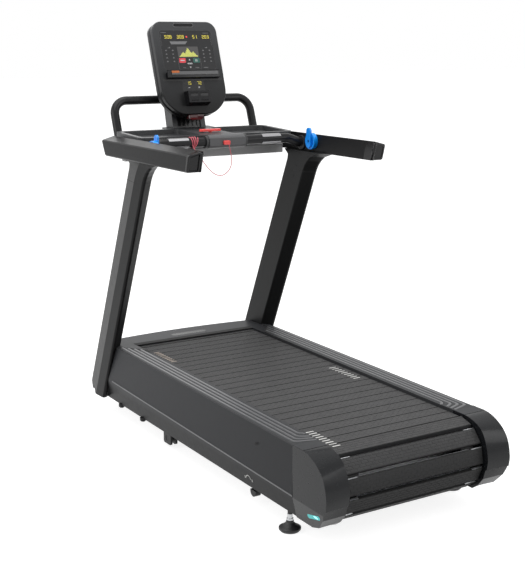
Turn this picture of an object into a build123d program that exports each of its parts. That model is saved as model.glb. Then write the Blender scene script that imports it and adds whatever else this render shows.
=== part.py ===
from build123d import *
import os
from math import asin, atan, cos, degrees, pi, radians, sin, sqrt, tan

# A motor-driven slat-belt treadmill.  X runs across it, Y points forward to
# the console, Z is up, and the origin is on the floor under its middle.

# ---------------------------------------------------------------- driving sizes
# slat belt and its drums
SLAT_PITCH = 56.0
SLAT_COUNT = 60
TREAD_LENGTH = 554.0           # across the belt
TREAD_THICK = 16.0
TREAD_GAP = 1.8                # between two treads on the flat
CARRIER_THICK = 3.0
CARRIER_LEDGE = 1.4            # how far a carrier is narrower than its tread
WEB_DEPTH = 20.0
WEB_THICK = 4.0
WEB_LENGTH = 380.0
PULLEY_RADIUS = 96.0
PULLEY_WIDTH = 50.0
FLANGE_HEIGHT = 5.0
LOOP_THICK = 7.0
LOOP_WIDTH = 44.0
LOOP_X = 235.0
AXLE_RADIUS = 15.0
AXLE_HEIGHT = 186.0
REAR_AXLE_Y = -742.0

# deck, frame and covers
BASE_HALF_LENGTH = 891.0
DECK_TOP = 320.0
RAIL_THICK = 26.0
RAIL_RIB = 1.4
BELT_CLEAR = 4.0               # belt end to foot rail
COVER_HALF = 372.0             # half width over the covers at the deck
COVER_WALL = 3.0
SKIRT_BOTTOM = 76.0
CREASE_FRONT = (388.0, 170.0)  # half width and height of the side crease
CREASE_REAR = (374.0, 147.0)
SKIRT_SLOPE = 0.24             # inward run of the skirt for each mm below the crease
CAP_SEAM_Y = -704.0
TUBE_WIDTH = 38.0
TUBE_HEIGHT = 60.0
TUBE_WALL = 4.0
TUBE_BOTTOM = 90.0
TUBE_INNER_X = 303.0

# uprights and arms
LEAN = 0.456                   # rearward run of an upright for each mm of height
UPRIGHT_INNER_X = 341.0
ARM_INNER_X = 361.0
ARM_OUTER_X = 418.0
ARM_BOTTOM = 1112.0
ARM_TOP_INNER = 1186.0
ARM_TOP_OUTER = 1172.0
ARM_REAR_Y = -108.0

# handlebar group
GRIP_Y = 373.0
GRIP_Z = 1167.0
GRIP_RADIUS = 19.0
HOOP_RADIUS = 17.5
HOOP_X = 316.0
HOOP_TOP = 1315.0
HOOP_Y = 679.0                 # leg foot at tray height
TRAY_TOP = 1190.0

# console
HEAD_Y = 668.0                 # middle of the display face
HEAD_Z = 1500.0
HEAD_TILT = 18.5               # degrees the display leans away from the runner
HEAD_HALF = 148.0
HEAD_UP = 136.0                # face middle to top edge
HEAD_DOWN = 252.0              # face middle to chin
HEAD_DEPTH = 62.0

# running gear under the frame
WHEEL_RADIUS = 35.0
LIFT_PIVOT_Y = 251.0
LIFT_HEIGHT = 38.0             # pivot and cross tube above the floor
LIFT_FRONT_Y = 772.0          # pin that the lift rod pushes
LIFT_WHEEL_Y = 725.0
LIFT_ARM_X = 240.0
FOOT_X = 341.0
FOOT_Y = -642.0
FOOT_RADIUS = 36.5

RUN = 0.3                      # running clearance between moving pieces
SEAT = 0.05                    # a seated piece over a curved one

# ------------------------------------------------------------- worked-out sizes
NEUTRAL_RADIUS = PULLEY_RADIUS + LOOP_THICK / 2
LOOP_LENGTH = SLAT_PITCH * SLAT_COUNT
AXLE_DISTANCE = LOOP_LENGTH / 2 - pi * NEUTRAL_RADIUS
FRONT_AXLE_Y = REAR_AXLE_Y + AXLE_DISTANCE
CARRIER_RADIUS = PULLEY_RADIUS + LOOP_THICK + SEAT
TREAD_TOP_RADIUS = CARRIER_RADIUS + CARRIER_THICK + TREAD_THICK
RAIL_INNER_X = TREAD_LENGTH / 2 + BELT_CLEAR
TUBE_TOP = TUBE_BOTTOM + TUBE_HEIGHT
LOOP_EDGE_X = LOOP_X + LOOP_WIDTH / 2
CAP_INNER_X = RAIL_INNER_X


def both_sides(part):
    """Add a right-hand piece and its mirror image to the open part."""
    add(part)
    add(part.mirror(Plane.YZ))


def place_on_loop(distance):
    """Y of the centre that a slat turns about, and how far it has turned, in radians.

    The distance runs forward along the top of the belt from over the rear axle.
    """
    half_turn = pi * NEUTRAL_RADIUS
    distance = distance % LOOP_LENGTH
    if distance < AXLE_DISTANCE:
        return REAR_AXLE_Y + distance, 0.0
    distance -= AXLE_DISTANCE
    if distance < half_turn:
        return FRONT_AXLE_Y, distance / NEUTRAL_RADIUS
    distance -= half_turn
    if distance < AXLE_DISTANCE:
        return FRONT_AXLE_Y - distance, pi
    distance -= AXLE_DISTANCE
    return REAR_AXLE_Y, pi + distance / NEUTRAL_RADIUS


def slat_location(index):
    """Where slat number index sits, as a Location for a slat drawn above the origin."""
    centre_y, turn = place_on_loop((index + 0.5) * SLAT_PITCH)
    return Location((0, centre_y, AXLE_HEIGHT), (-degrees(turn), 0, 0))


# ------------------------------------------------------------------- slat belt
tread_width = SLAT_PITCH - TREAD_GAP
carrier_width = tread_width - 2 * CARRIER_LEDGE
slat_places = [slat_location(index) for index in range(SLAT_COUNT)]

with BuildPart() as slat_treads:
    with Locations(*slat_places):
        with Locations((0, 0, CARRIER_RADIUS + CARRIER_THICK)):
            Box(
                TREAD_LENGTH,
                tread_width,
                TREAD_THICK,
                align=(Align.CENTER, Align.CENTER, Align.MIN),
            )

with BuildPart() as one_carrier:
    with Locations((0, 0, CARRIER_RADIUS)):
        Box(
            TREAD_LENGTH,
            carrier_width,
            CARRIER_THICK,
            align=(Align.CENTER, Align.CENTER, Align.MIN),
        )
        Box(
            WEB_LENGTH,
            WEB_THICK,
            WEB_DEPTH,
            align=(Align.CENTER, Align.CENTER, Align.MAX),
        )

with BuildPart() as slat_carriers:
    with Locations(*slat_places):
        add(one_carrier.part)

with BuildPart() as one_loop:
    with BuildSketch(Plane.YZ.offset(LOOP_X - LOOP_WIDTH / 2)):
        with Locations((REAR_AXLE_Y + AXLE_DISTANCE / 2, AXLE_HEIGHT)):
            SlotCenterToCenter(AXLE_DISTANCE, 2 * (PULLEY_RADIUS + LOOP_THICK))
            SlotCenterToCenter(
                AXLE_DISTANCE, 2 * (PULLEY_RADIUS + RUN), mode=Mode.SUBTRACT
            )
    extrude(amount=LOOP_WIDTH)

with BuildPart() as belt_loops:
    both_sides(one_loop.part)


def build_axle(axle_y, half_length):
    """A stepped axle lying along X at one end of the belt."""
    with BuildPart(mode=Mode.PRIVATE) as axle:
        with BuildSketch(Plane.YZ.offset(-half_length)):
            with Locations((axle_y, AXLE_HEIGHT)):
                Circle(AXLE_RADIUS)
        extrude(amount=2 * half_length)
        chamfer(axle.edges().filter_by(GeomType.CIRCLE), 1.5)
    return axle.part


def build_pulley(axle_y):
    """The right-hand belt pulley: a rim with flanges, a web with five holes and a hub."""
    centre = (axle_y, AXLE_HEIGHT)
    inner = LOOP_X - PULLEY_WIDTH / 2
    rim_wall = 9.0
    web = 10.0
    flange_width = 2.0
    with BuildPart(mode=Mode.PRIVATE) as pulley:
        with BuildSketch(Plane.YZ.offset(inner)):
            with Locations(centre):
                Circle(PULLEY_RADIUS)
                Circle(PULLEY_RADIUS - rim_wall, mode=Mode.SUBTRACT)
        extrude(amount=PULLEY_WIDTH)
        for flange_x in (inner, inner + PULLEY_WIDTH - flange_width):
            with BuildSketch(Plane.YZ.offset(flange_x)):
                with Locations(centre):
                    Circle(PULLEY_RADIUS + FLANGE_HEIGHT)
                    Circle(PULLEY_RADIUS - rim_wall, mode=Mode.SUBTRACT)
            extrude(amount=flange_width)
        with BuildSketch(Plane.YZ.offset(LOOP_X - web / 2)):
            with Locations(centre):
                Circle(PULLEY_RADIUS - rim_wall)
                Circle(AXLE_RADIUS, mode=Mode.SUBTRACT)
                with PolarLocations(PULLEY_RADIUS * 0.58, 5):
                    Circle(PULLEY_RADIUS * 0.19, mode=Mode.SUBTRACT)
        extrude(amount=web)
        with BuildSketch(Plane.YZ.offset(inner)):
            with Locations(centre):
                Circle(AXLE_RADIUS + 12)
                Circle(AXLE_RADIUS, mode=Mode.SUBTRACT)
        extrude(amount=PULLEY_WIDTH)
    return pulley.part


AXLE_HALF = TUBE_INNER_X + TUBE_WIDTH - 2
with BuildPart() as rear_axle:
    add(build_axle(REAR_AXLE_Y, AXLE_HALF))
with BuildPart() as front_axle:
    add(build_axle(FRONT_AXLE_Y, AXLE_HALF))
with BuildPart() as rear_pulleys:
    both_sides(build_pulley(REAR_AXLE_Y))

DRIVEN_RADIUS = 60.0
MOTOR_PULLEY_RADIUS = 30.0
DRIVE_BELT_THICK = 5.0
DRIVE_BELT_WIDTH = 12.0
DRIVE_PULLEY_WIDTH = 15.0
DRIVE_X = (TREAD_LENGTH / 2 + TUBE_INNER_X) / 2
MOTOR_Y = FRONT_AXLE_Y - 262.0

with BuildPart() as front_pulleys:
    both_sides(build_pulley(FRONT_AXLE_Y))
    with BuildSketch(Plane.YZ.offset(DRIVE_X - DRIVE_PULLEY_WIDTH / 2)):
        with Locations((FRONT_AXLE_Y, AXLE_HEIGHT)):
            Circle(DRIVEN_RADIUS)
            Circle(AXLE_RADIUS, mode=Mode.SUBTRACT)
            with PolarLocations(DRIVEN_RADIUS * 0.62, 6):
                Circle(DRIVEN_RADIUS * 0.18, mode=Mode.SUBTRACT)
    extrude(amount=DRIVE_PULLEY_WIDTH)

# ------------------------------------------------------------------ drive train
MOTOR_RADIUS = 58.0
MOTOR_LENGTH = 250.0
MOTOR_RIGHT_X = 150.0
MOTOR_SHAFT_RADIUS = 9.0
fin_count = 18
with BuildPart() as drive_motor:
    with BuildSketch(Plane.YZ.offset(MOTOR_RIGHT_X - MOTOR_LENGTH)):
        with Locations((MOTOR_Y, AXLE_HEIGHT)):
            Circle(MOTOR_RADIUS - 6)
            with PolarLocations(MOTOR_RADIUS - 8, fin_count):
                Rectangle(16, 4)
    extrude(amount=MOTOR_LENGTH)
    for bell_x in (MOTOR_RIGHT_X - MOTOR_LENGTH - 14, MOTOR_RIGHT_X):
        with BuildSketch(Plane.YZ.offset(bell_x)):
            with Locations((MOTOR_Y, AXLE_HEIGHT)):
                Circle(MOTOR_RADIUS)
                Circle(MOTOR_SHAFT_RADIUS + 0.1, mode=Mode.SUBTRACT)
        extrude(amount=14)
    with BuildSketch(Plane.YZ.offset(MOTOR_RIGHT_X - MOTOR_LENGTH)):
        with Locations((MOTOR_Y, AXLE_HEIGHT)):
            Circle(MOTOR_SHAFT_RADIUS + 0.1)
    extrude(amount=MOTOR_LENGTH, mode=Mode.SUBTRACT)

with BuildPart() as motor_pulley:
    with BuildSketch(Plane.YZ.offset(DRIVE_X - DRIVE_PULLEY_WIDTH / 2)):
        with Locations((MOTOR_Y, AXLE_HEIGHT)):
            Circle(MOTOR_PULLEY_RADIUS)
    extrude(amount=DRIVE_PULLEY_WIDTH)
    with BuildSketch(Plane.YZ.offset(MOTOR_RIGHT_X - MOTOR_LENGTH)):
        with Locations((MOTOR_Y, AXLE_HEIGHT)):
            Circle(MOTOR_SHAFT_RADIUS)
    extrude(amount=DRIVE_X - MOTOR_RIGHT_X + MOTOR_LENGTH)

wrap_turn = asin((DRIVEN_RADIUS - MOTOR_PULLEY_RADIUS) / (FRONT_AXLE_Y - MOTOR_Y))


def belt_outline(extra):
    """Closed outline round the two drive pulleys, extra mm outside their rims."""
    big = DRIVEN_RADIUS + extra
    small = MOTOR_PULLEY_RADIUS + extra

    def rim(centre_y, radius, turn):
        return (centre_y + radius * sin(turn), AXLE_HEIGHT + radius * cos(turn))

    upper_small = rim(MOTOR_Y, small, -wrap_turn)
    upper_big = rim(FRONT_AXLE_Y, big, -wrap_turn)
    lower_big = rim(FRONT_AXLE_Y, big, wrap_turn + pi)
    lower_small = rim(MOTOR_Y, small, wrap_turn + pi)
    Line(upper_small, upper_big)
    ThreePointArc(upper_big, (FRONT_AXLE_Y + big, AXLE_HEIGHT), lower_big)
    Line(lower_big, lower_small)
    ThreePointArc(lower_small, (MOTOR_Y - small, AXLE_HEIGHT), upper_small)


with BuildPart() as drive_belt:
    with BuildSketch(Plane.YZ.offset(DRIVE_X - DRIVE_BELT_WIDTH / 2)):
        with BuildLine():
            belt_outline(DRIVE_BELT_THICK)
        make_face()
        with BuildLine():
            belt_outline(RUN)
        make_face(mode=Mode.SUBTRACT)
    extrude(amount=DRIVE_BELT_WIDTH)

# ----------------------------------------------------------------- steel chassis
CROSS_WIDTH = 40.0
CROSS_DEPTH = 38.0
CROSS_YS = (-560.0, -160.0, 240.0)
FRONT_CROSS_Y = 828.0
FRONT_CROSS_DEPTH = 28.0
FRONT_CROSS_HEIGHT = 40.0
FOOT_BOSS_RADIUS = 12.5
FOOT_BOSS_BOTTOM = 74.0
STEM_RADIUS = 8.0
POST_WIDTH = 26.0
POST_LENGTH = 30.0
CRADLE_THICK = 7.0
tube_middle_x = TUBE_INNER_X + TUBE_WIDTH / 2
tube_rear = REAR_AXLE_Y - 45.0
tube_front = FRONT_CROSS_Y + FRONT_CROSS_DEPTH / 2
tube_length = tube_front - tube_rear
motor_seat_z = AXLE_HEIGHT - MOTOR_RADIUS - SEAT
cradle_rear = CROSS_YS[-1] + CROSS_WIDTH / 2

with BuildPart() as base_frame:
    for side in (-1, 1):
        tube_centre = (side * tube_middle_x, tube_rear + tube_length / 2, TUBE_BOTTOM + TUBE_HEIGHT / 2)
        with Locations(tube_centre):
            Box(TUBE_WIDTH, tube_length, TUBE_HEIGHT)
            Box(
                TUBE_WIDTH - 2 * TUBE_WALL,
                tube_length,
                TUBE_HEIGHT - 2 * TUBE_WALL,
                mode=Mode.SUBTRACT,
            )
        # boss beside the tube with the threaded hole that takes a rear foot
        with Locations((side * FOOT_X, FOOT_Y, FOOT_BOSS_BOTTOM)):
            Cylinder(
                FOOT_BOSS_RADIUS,
                TUBE_TOP - 6 - FOOT_BOSS_BOTTOM,
                align=(Align.CENTER, Align.CENTER, Align.MIN),
            )
    for cross_y in CROSS_YS:
        with Locations((0, cross_y, TUBE_TOP)):
            Box(
                2 * TUBE_INNER_X,
                CROSS_WIDTH,
                CROSS_DEPTH,
                align=(Align.CENTER, Align.CENTER, Align.MAX),
            )
    with Locations((0, FRONT_CROSS_Y, TUBE_BOTTOM)):
        Box(
            2 * TUBE_INNER_X,
            FRONT_CROSS_DEPTH,
            FRONT_CROSS_HEIGHT,
            align=(Align.CENTER, Align.CENTER, Align.MIN),
        )
    for side in (-1, 1):
        for post_y in CROSS_YS:
            with Locations((side * tube_middle_x, post_y, TUBE_TOP)):
                Box(
                    POST_WIDTH,
                    POST_LENGTH,
                    DECK_TOP - RAIL_THICK - TUBE_TOP,
                    align=(Align.CENTER, Align.CENTER, Align.MIN),
                )
        with Locations((side * FOOT_X, FOOT_Y, FOOT_BOSS_BOTTOM)):
            Cylinder(
                STEM_RADIUS + SEAT,
                TUBE_TOP,
                align=(Align.CENTER, Align.CENTER, Align.MIN),
                mode=Mode.SUBTRACT,
            )
    # plate in front of the last cross member that the motor sits on
    with Locations((MOTOR_RIGHT_X - MOTOR_LENGTH / 2, cradle_rear, motor_seat_z)):
        Box(
            MOTOR_LENGTH * 0.7,
            MOTOR_Y + MOTOR_RADIUS * 0.6 - cradle_rear,
            CRADLE_THICK,
            align=(Align.CENTER, Align.MIN, Align.MAX),
        )

# bridge-shaped plates that carry the belt rollers along both edges of the deck
ROLLER_RADIUS = 15.0
ROLLER_WIDTH = 30.0
ROLLER_PITCH = 80.0
ROLLER_COUNT = 14
ROLLER_PIN = 5.0
PLATE_THICK = 8.0
plate_x = LOOP_EDGE_X + 6.0
roller_z = AXLE_HEIGHT + PULLEY_RADIUS - ROLLER_RADIUS
plate_rear = CROSS_YS[0] - 60.0
plate_front = plate_rear + ROLLER_PITCH * ROLLER_COUNT
plate_top = roller_z + 8.0
plate_depth = 42.0

with BuildPart() as one_roller_plate:
    with BuildSketch(Plane.YZ.offset(plate_x)):
        with Locations(((plate_rear + plate_front) / 2, plate_top - plate_depth / 2)):
            RectangleRounded(plate_front - plate_rear, plate_depth, 8)
        for cross_y in CROSS_YS:
            with Locations((cross_y, (TUBE_TOP + plate_top) / 2)):
                Rectangle(CROSS_WIDTH - 4, plate_top - TUBE_TOP)
    extrude(amount=PLATE_THICK)
    with BuildSketch(Plane.YZ.offset(plate_x)):
        with Locations((plate_rear + ROLLER_PITCH * ROLLER_COUNT / 2, roller_z)):
            with GridLocations(ROLLER_PITCH, 0, ROLLER_COUNT, 1):
                Circle(ROLLER_PIN + SEAT)
    extrude(amount=PLATE_THICK, mode=Mode.SUBTRACT)

with BuildPart() as roller_plates:
    both_sides(one_roller_plate.part)

with BuildPart() as one_roller_row:
    row_centre = plate_rear + ROLLER_PITCH * ROLLER_COUNT / 2
    with BuildSketch(Plane.YZ.offset(LOOP_X - ROLLER_WIDTH / 2)):
        with Locations((row_centre, roller_z)):
            with GridLocations(ROLLER_PITCH, 0, ROLLER_COUNT, 1):
                Circle(ROLLER_RADIUS)
    extrude(amount=ROLLER_WIDTH)
    with BuildSketch(Plane.YZ.offset(LOOP_X)):
        with Locations((row_centre, roller_z)):
            with GridLocations(ROLLER_PITCH, 0, ROLLER_COUNT, 1):
                Circle(ROLLER_PIN)
    extrude(amount=plate_x + PLATE_THICK - LOOP_X)

with BuildPart() as support_rollers:
    both_sides(one_roller_row.part)

# pillow blocks on top of the side tubes
BLOCK_WIDTH = 30.0
BLOCK_LENGTH = 96.0
with BuildPart() as one_bearing_pair:
    for axle_y in (REAR_AXLE_Y, FRONT_AXLE_Y):
        with BuildSketch(Plane.YZ.offset(tube_middle_x - BLOCK_WIDTH / 2)):
            with Locations((axle_y, AXLE_HEIGHT)):
                Circle(AXLE_RADIUS + 17)
            with Locations((axle_y, TUBE_TOP + 7)):
                Rectangle(BLOCK_LENGTH, 14)
            with Locations((axle_y, (TUBE_TOP + AXLE_HEIGHT) / 2)):
                Rectangle(2 * AXLE_RADIUS + 34, AXLE_HEIGHT - TUBE_TOP)
            with Locations((axle_y, AXLE_HEIGHT)):
                Circle(AXLE_RADIUS + SEAT, mode=Mode.SUBTRACT)
        extrude(amount=BLOCK_WIDTH)
with BuildPart() as axle_bearings:
    both_sides(one_bearing_pair.part)

# speed controller: a finned box on the middle cross member
BOX_WIDTH = 240.0
BOX_LENGTH = 150.0
BOX_HEIGHT = 46.0
with BuildPart() as motor_controller:
    with Locations((0, CROSS_YS[1], TUBE_TOP)):
        Box(BOX_WIDTH, BOX_LENGTH, BOX_HEIGHT, align=(Align.CENTER, Align.CENTER, Align.MIN))
    with Locations((0, CROSS_YS[1], TUBE_TOP + BOX_HEIGHT)):
        with GridLocations(BOX_WIDTH / 12, 0, 11, 1):
            Box(4, BOX_LENGTH - 20, 18, align=(Align.CENTER, Align.CENTER, Align.MIN))

# ------------------------------------------------------------- uprights and arms
def lean(point_y, height, reference=DECK_TOP):
    """Y of a leaning edge at a height, from its Y at deck height."""
    return point_y - LEAN * (height - reference)


# outline of the right upright at deck height, inner rear corner first
UPRIGHT_RIDGE_X = 397.0
UPRIGHT_REAR_X = 392.0
UPRIGHT_FRONT_X = 375.0
UPRIGHT_REAR_INNER_Y = 657.0
UPRIGHT_REAR_OUTER_Y = 617.0
UPRIGHT_RIDGE_Y = 694.0
UPRIGHT_FRONT_Y = 806.0
UPRIGHT_ROUND = 9.0
FLARE_START = 1000.0
REAR_FLARE = 80.0
FRONT_FLARE = 38.0
HEAD_OVERLAP = 1.5             # the post runs this far up into its head casting
flare_height = ARM_BOTTOM - FLARE_START


def upright_section(height, inset=0.0, rear_shift=0.0, front_shift=0.0):
    """The upright's horizontal outline at a height, inset by a wall thickness."""
    rear = inset * 1.2 - rear_shift
    front = -inset * 1.2 + front_shift
    corners = [
        (UPRIGHT_INNER_X + inset, lean(UPRIGHT_REAR_INNER_Y, height) + rear),
        (UPRIGHT_REAR_X - inset, lean(UPRIGHT_REAR_OUTER_Y, height) + rear * 1.15),
        (UPRIGHT_RIDGE_X - inset, lean(UPRIGHT_RIDGE_Y, height) + (front_shift - rear_shift) / 2),
        (UPRIGHT_FRONT_X - inset, lean(UPRIGHT_FRONT_Y, height) + front),
        (UPRIGHT_INNER_X + inset, lean(UPRIGHT_FRONT_Y - 10, height) + front),
    ]
    with BuildSketch(Plane.XY.offset(height), mode=Mode.PRIVATE) as outline:
        with BuildLine():
            Polyline(*corners, close=True)
        make_face()
        if inset == 0.0:
            fillet(outline.vertices(), UPRIGHT_ROUND)
    return outline.sketch


def flare_shift(radius, height):
    """How far a concave fillet of this radius reaches out near the arm."""
    climb = max(0.0, height - (ARM_BOTTOM - radius))
    return radius - sqrt(max(0.0, radius**2 - climb**2))


PADDLE_Y = 286.0
PADDLE_Z = 1157.0
PADDLE_RADIUS = 33.0
PADDLE_PIN = 6.0
PADDLE_HUB = 10.0
PADDLE_OUTER_X = ARM_INNER_X - RUN
PADDLE_THICK = 17.0
PADDLE_FIN_HEIGHT = 82.0
PADDLE_FIN_WIDTH = 28.0
PADDLE_FIN_THICK = 8.0
PADDLE_FIN_RISE = 13.0
UPRIGHT_WALL = 5.0
WHEEL_BAY_Y = 822.0
WHEEL_BAY_Z = 103.0
WHEEL_X = 362.0
WHEEL_SMALL = 27.0
WHEEL_THICK = 16.0
lean_direction = (0, -LEAN, 1)
lean_length = sqrt(1 + LEAN**2)

with BuildPart() as one_post:
    extrude(
        upright_section(SKIRT_BOTTOM),
        amount=(FLARE_START - SKIRT_BOTTOM) * lean_length,
        dir=lean_direction,
    )
    flare_steps = 6
    flare_sections = []
    for step in range(flare_steps + 1):
        step_height = FLARE_START + flare_height * step / flare_steps
        flare_sections.append(
            upright_section(
                step_height,
                0.0,
                flare_shift(REAR_FLARE, step_height),
                flare_shift(FRONT_FLARE, step_height),
            )
        )
    loft(flare_sections, ruled=True)
    extrude(flare_sections[-1], amount=HEAD_OVERLAP)
    # hollow inside, closed above the foot
    extrude(
        upright_section(WHEEL_BAY_Z + WHEEL_SMALL + 12, UPRIGHT_WALL),
        amount=(FLARE_START - 30 - WHEEL_BAY_Z - WHEEL_SMALL - 12) * lean_length,
        dir=lean_direction,
        mode=Mode.SUBTRACT,
    )
    # the toe is cut square to the base's front and rounded under it
    with BuildSketch(Plane.YZ.offset(UPRIGHT_INNER_X - 20)):
        with BuildLine():
            toe = Polyline(
                (BASE_HALF_LENGTH - 82, SKIRT_BOTTOM),
                (BASE_HALF_LENGTH - 20, SKIRT_BOTTOM + 14),
                (BASE_HALF_LENGTH, SKIRT_BOTTOM + 36),
                (BASE_HALF_LENGTH, SKIRT_BOTTOM + 90),
                (BASE_HALF_LENGTH + 80, SKIRT_BOTTOM + 90),
                (BASE_HALF_LENGTH + 80, SKIRT_BOTTOM - 10),
                (BASE_HALF_LENGTH - 82, SKIRT_BOTTOM - 10),
                close=True,
            )
        make_face()
    extrude(amount=100, mode=Mode.SUBTRACT)
    # bay for the transport wheel, with its notch in the outer face
    with Locations((WHEEL_X, WHEEL_BAY_Y, SKIRT_BOTTOM - 10)):
        Box(
            WHEEL_THICK + 6,
            2 * WHEEL_SMALL + 10,
            WHEEL_BAY_Z + WHEEL_SMALL + 6 - SKIRT_BOTTOM + 10,
            align=(Align.CENTER, Align.CENTER, Align.MIN),
            mode=Mode.SUBTRACT,
        )
    with BuildSketch(Plane.YZ.offset(WHEEL_X)):
        with BuildLine():
            Polyline(
                (WHEEL_BAY_Y - 18, SKIRT_BOTTOM - 6),
                (WHEEL_BAY_Y + 34, SKIRT_BOTTOM - 6),
                (WHEEL_BAY_Y + 30, SKIRT_BOTTOM + 24),
                (WHEEL_BAY_Y + 12, SKIRT_BOTTOM + 16),
                close=True,
            )
        make_face()
    extrude(amount=60, mode=Mode.SUBTRACT)
    with BuildSketch(Plane.YZ.offset(WHEEL_X - WHEEL_THICK / 2 - 6)):
        with Locations((WHEEL_BAY_Y, WHEEL_BAY_Z)):
            Circle(5)
    extrude(amount=WHEEL_THICK + 12)

with BuildPart() as one_transport_wheel:
    with BuildSketch(Plane.YZ.offset(WHEEL_X - WHEEL_THICK / 2)):
        with Locations((WHEEL_BAY_Y, WHEEL_BAY_Z)):
            Circle(WHEEL_SMALL)
            Circle(5 + SEAT, mode=Mode.SUBTRACT)
    extrude(amount=WHEEL_THICK)
    fillet(one_transport_wheel.edges().filter_by(GeomType.CIRCLE).sort_by(SortBy.RADIUS)[-2:], 3)
with BuildPart() as transport_wheel_right:
    add(one_transport_wheel.part)
with BuildPart() as transport_wheel_left:
    add(one_transport_wheel.part.mirror(Plane.YZ))

# ------------------------------------------------------- covers, rails and caps
SEAM = 1.0                     # gap at a seam between two covers
RAIL_LIP = 4.0
HOOD_WING_REAR = 534.0         # where the hood meets the inner edge of a foot rail
HOOD_WING_SLANT = 72.0
HOOD_BELT_EDGE = 654.0
HOOD_TOP = 315.0
HOOD_HALF = UPRIGHT_INNER_X - 0.5
HOOD_FRONT_Y = 783.0
HOOD_BOW = 24.0
HOOD_WALL = 4.0
rail_top = DECK_TOP - RAIL_RIB
rail_bottom = DECK_TOP - RAIL_THICK


def lean_block(front_points):
    """A tall block that leans with the uprights, from a plan outline at deck height."""
    drop = DECK_TOP
    shifted = [(x, lean(y, 0)) for x, y in front_points]
    with BuildPart(mode=Mode.PRIVATE) as block:
        with BuildSketch(Plane.XY):
            with BuildLine():
                Polyline(*shifted, close=True)
            make_face()
        extrude(amount=(drop + 60) * lean_length, dir=lean_direction)
    return block.part


# everything in front of an upright's rear face, which the covers stop short of
face_run = (UPRIGHT_REAR_OUTER_Y - UPRIGHT_REAR_INNER_Y) / (UPRIGHT_REAR_X - UPRIGHT_INNER_X)
clear_y = UPRIGHT_REAR_INNER_Y - 2 * SEAM
upright_clearance = lean_block(
    [
        (UPRIGHT_INNER_X - 0.2, clear_y),
        (UPRIGHT_INNER_X + 80, clear_y + 80 * face_run),
        (UPRIGHT_INNER_X + 80, clear_y + 600),
        (UPRIGHT_INNER_X - 0.2, clear_y + 600),
    ]
)


def cover_section(crease):
    """Cross-section of a side cover, a bent plate from under the rail's lip to the skirt."""
    crease_x, crease_z = crease
    outer = [
        (COVER_HALF, rail_top - RAIL_LIP),
        (crease_x, crease_z),
        (crease_x - SKIRT_SLOPE * (crease_z - SKIRT_BOTTOM), SKIRT_BOTTOM),
    ]
    inner = [(x - COVER_WALL, z) for x, z in reversed(outer)]
    return outer + inner


with BuildPart() as side_cover_right:
    for section_y, points in (
        (-LIFT_FRONT_Y, cover_section(CREASE_FRONT)),
        (-CAP_SEAM_Y, cover_section(CREASE_REAR)),
    ):
        with BuildSketch(Plane.XZ.offset(section_y)):
            with BuildLine():
                Polyline(*points, close=True)
            make_face()
    loft()
    add(upright_clearance, mode=Mode.SUBTRACT)
with BuildPart() as side_cover_left:
    add(side_cover_right.part.mirror(Plane.YZ))

with BuildPart() as foot_rail_right:
    with BuildSketch(Plane.XZ.offset(-CAP_SEAM_Y)):
        with BuildLine():
            Polyline(
                (RAIL_INNER_X, rail_bottom),
                (RAIL_INNER_X, rail_top),
                (COVER_HALF - 3, rail_top),
                (COVER_HALF, rail_top - 2),
                (COVER_HALF, rail_top - RAIL_LIP),
                (COVER_HALF - COVER_WALL - 3, rail_top - RAIL_LIP),
                (COVER_HALF - COVER_WALL - 3, rail_bottom),
                close=True,
            )
        make_face()
    extrude(amount=-(UPRIGHT_REAR_INNER_Y - CAP_SEAM_Y))
    # slanted end against the hood's wing, then the end against the upright
    with BuildSketch(Plane.XY.offset(rail_bottom - 1)):
        with BuildLine():
            Polyline(
                (RAIL_INNER_X - 5, HOOD_WING_REAR - 6),
                (UPRIGHT_INNER_X, HOOD_WING_REAR + HOOD_WING_SLANT),
                (UPRIGHT_INNER_X, HOOD_BELT_EDGE + 90),
                (RAIL_INNER_X - 5, HOOD_BELT_EDGE + 90),
                close=True,
            )
        make_face()
    extrude(amount=RAIL_THICK + 2, mode=Mode.SUBTRACT)
    add(upright_clearance, mode=Mode.SUBTRACT)
with BuildPart() as foot_rail_left:
    add(foot_rail_right.part.mirror(Plane.YZ))


def skirt_cut(crease, wall=0.0):
    """Everything outside a cap's slanted skirt, drawn in by a wall."""
    crease_x, crease_z = crease
    reach = crease_z - SKIRT_BOTTOM + 20
    with BuildSketch(Plane.XZ.offset(-CAP_SEAM_Y - 50), mode=Mode.PRIVATE) as outline:
        with BuildLine():
            Polyline(
                (crease_x - wall, crease_z),
                (crease_x + 40, crease_z),
                (crease_x + 40, crease_z - reach),
                (crease_x - wall - SKIRT_SLOPE * reach, crease_z - reach),
                close=True,
            )
        make_face()
    return extrude(outline.sketch, amount=300, mode=Mode.PRIVATE)


def cap_outline(x, round_points, lower_points):
    """One rim of a rear cap in the plane of constant X, closed along its front edge."""
    with BuildSketch(Plane.YZ.offset(x), mode=Mode.PRIVATE) as rim:
        with BuildLine():
            Spline(*round_points, tangents=((-1, 0), (0.2, -1)))
            Polyline(
                round_points[-1],
                *lower_points,
                (CAP_SEAM_Y, lower_points[-1][1]),
                (CAP_SEAM_Y, round_points[0][1]),
                round_points[0],
            )
        make_face()
    return rim.sketch


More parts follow.
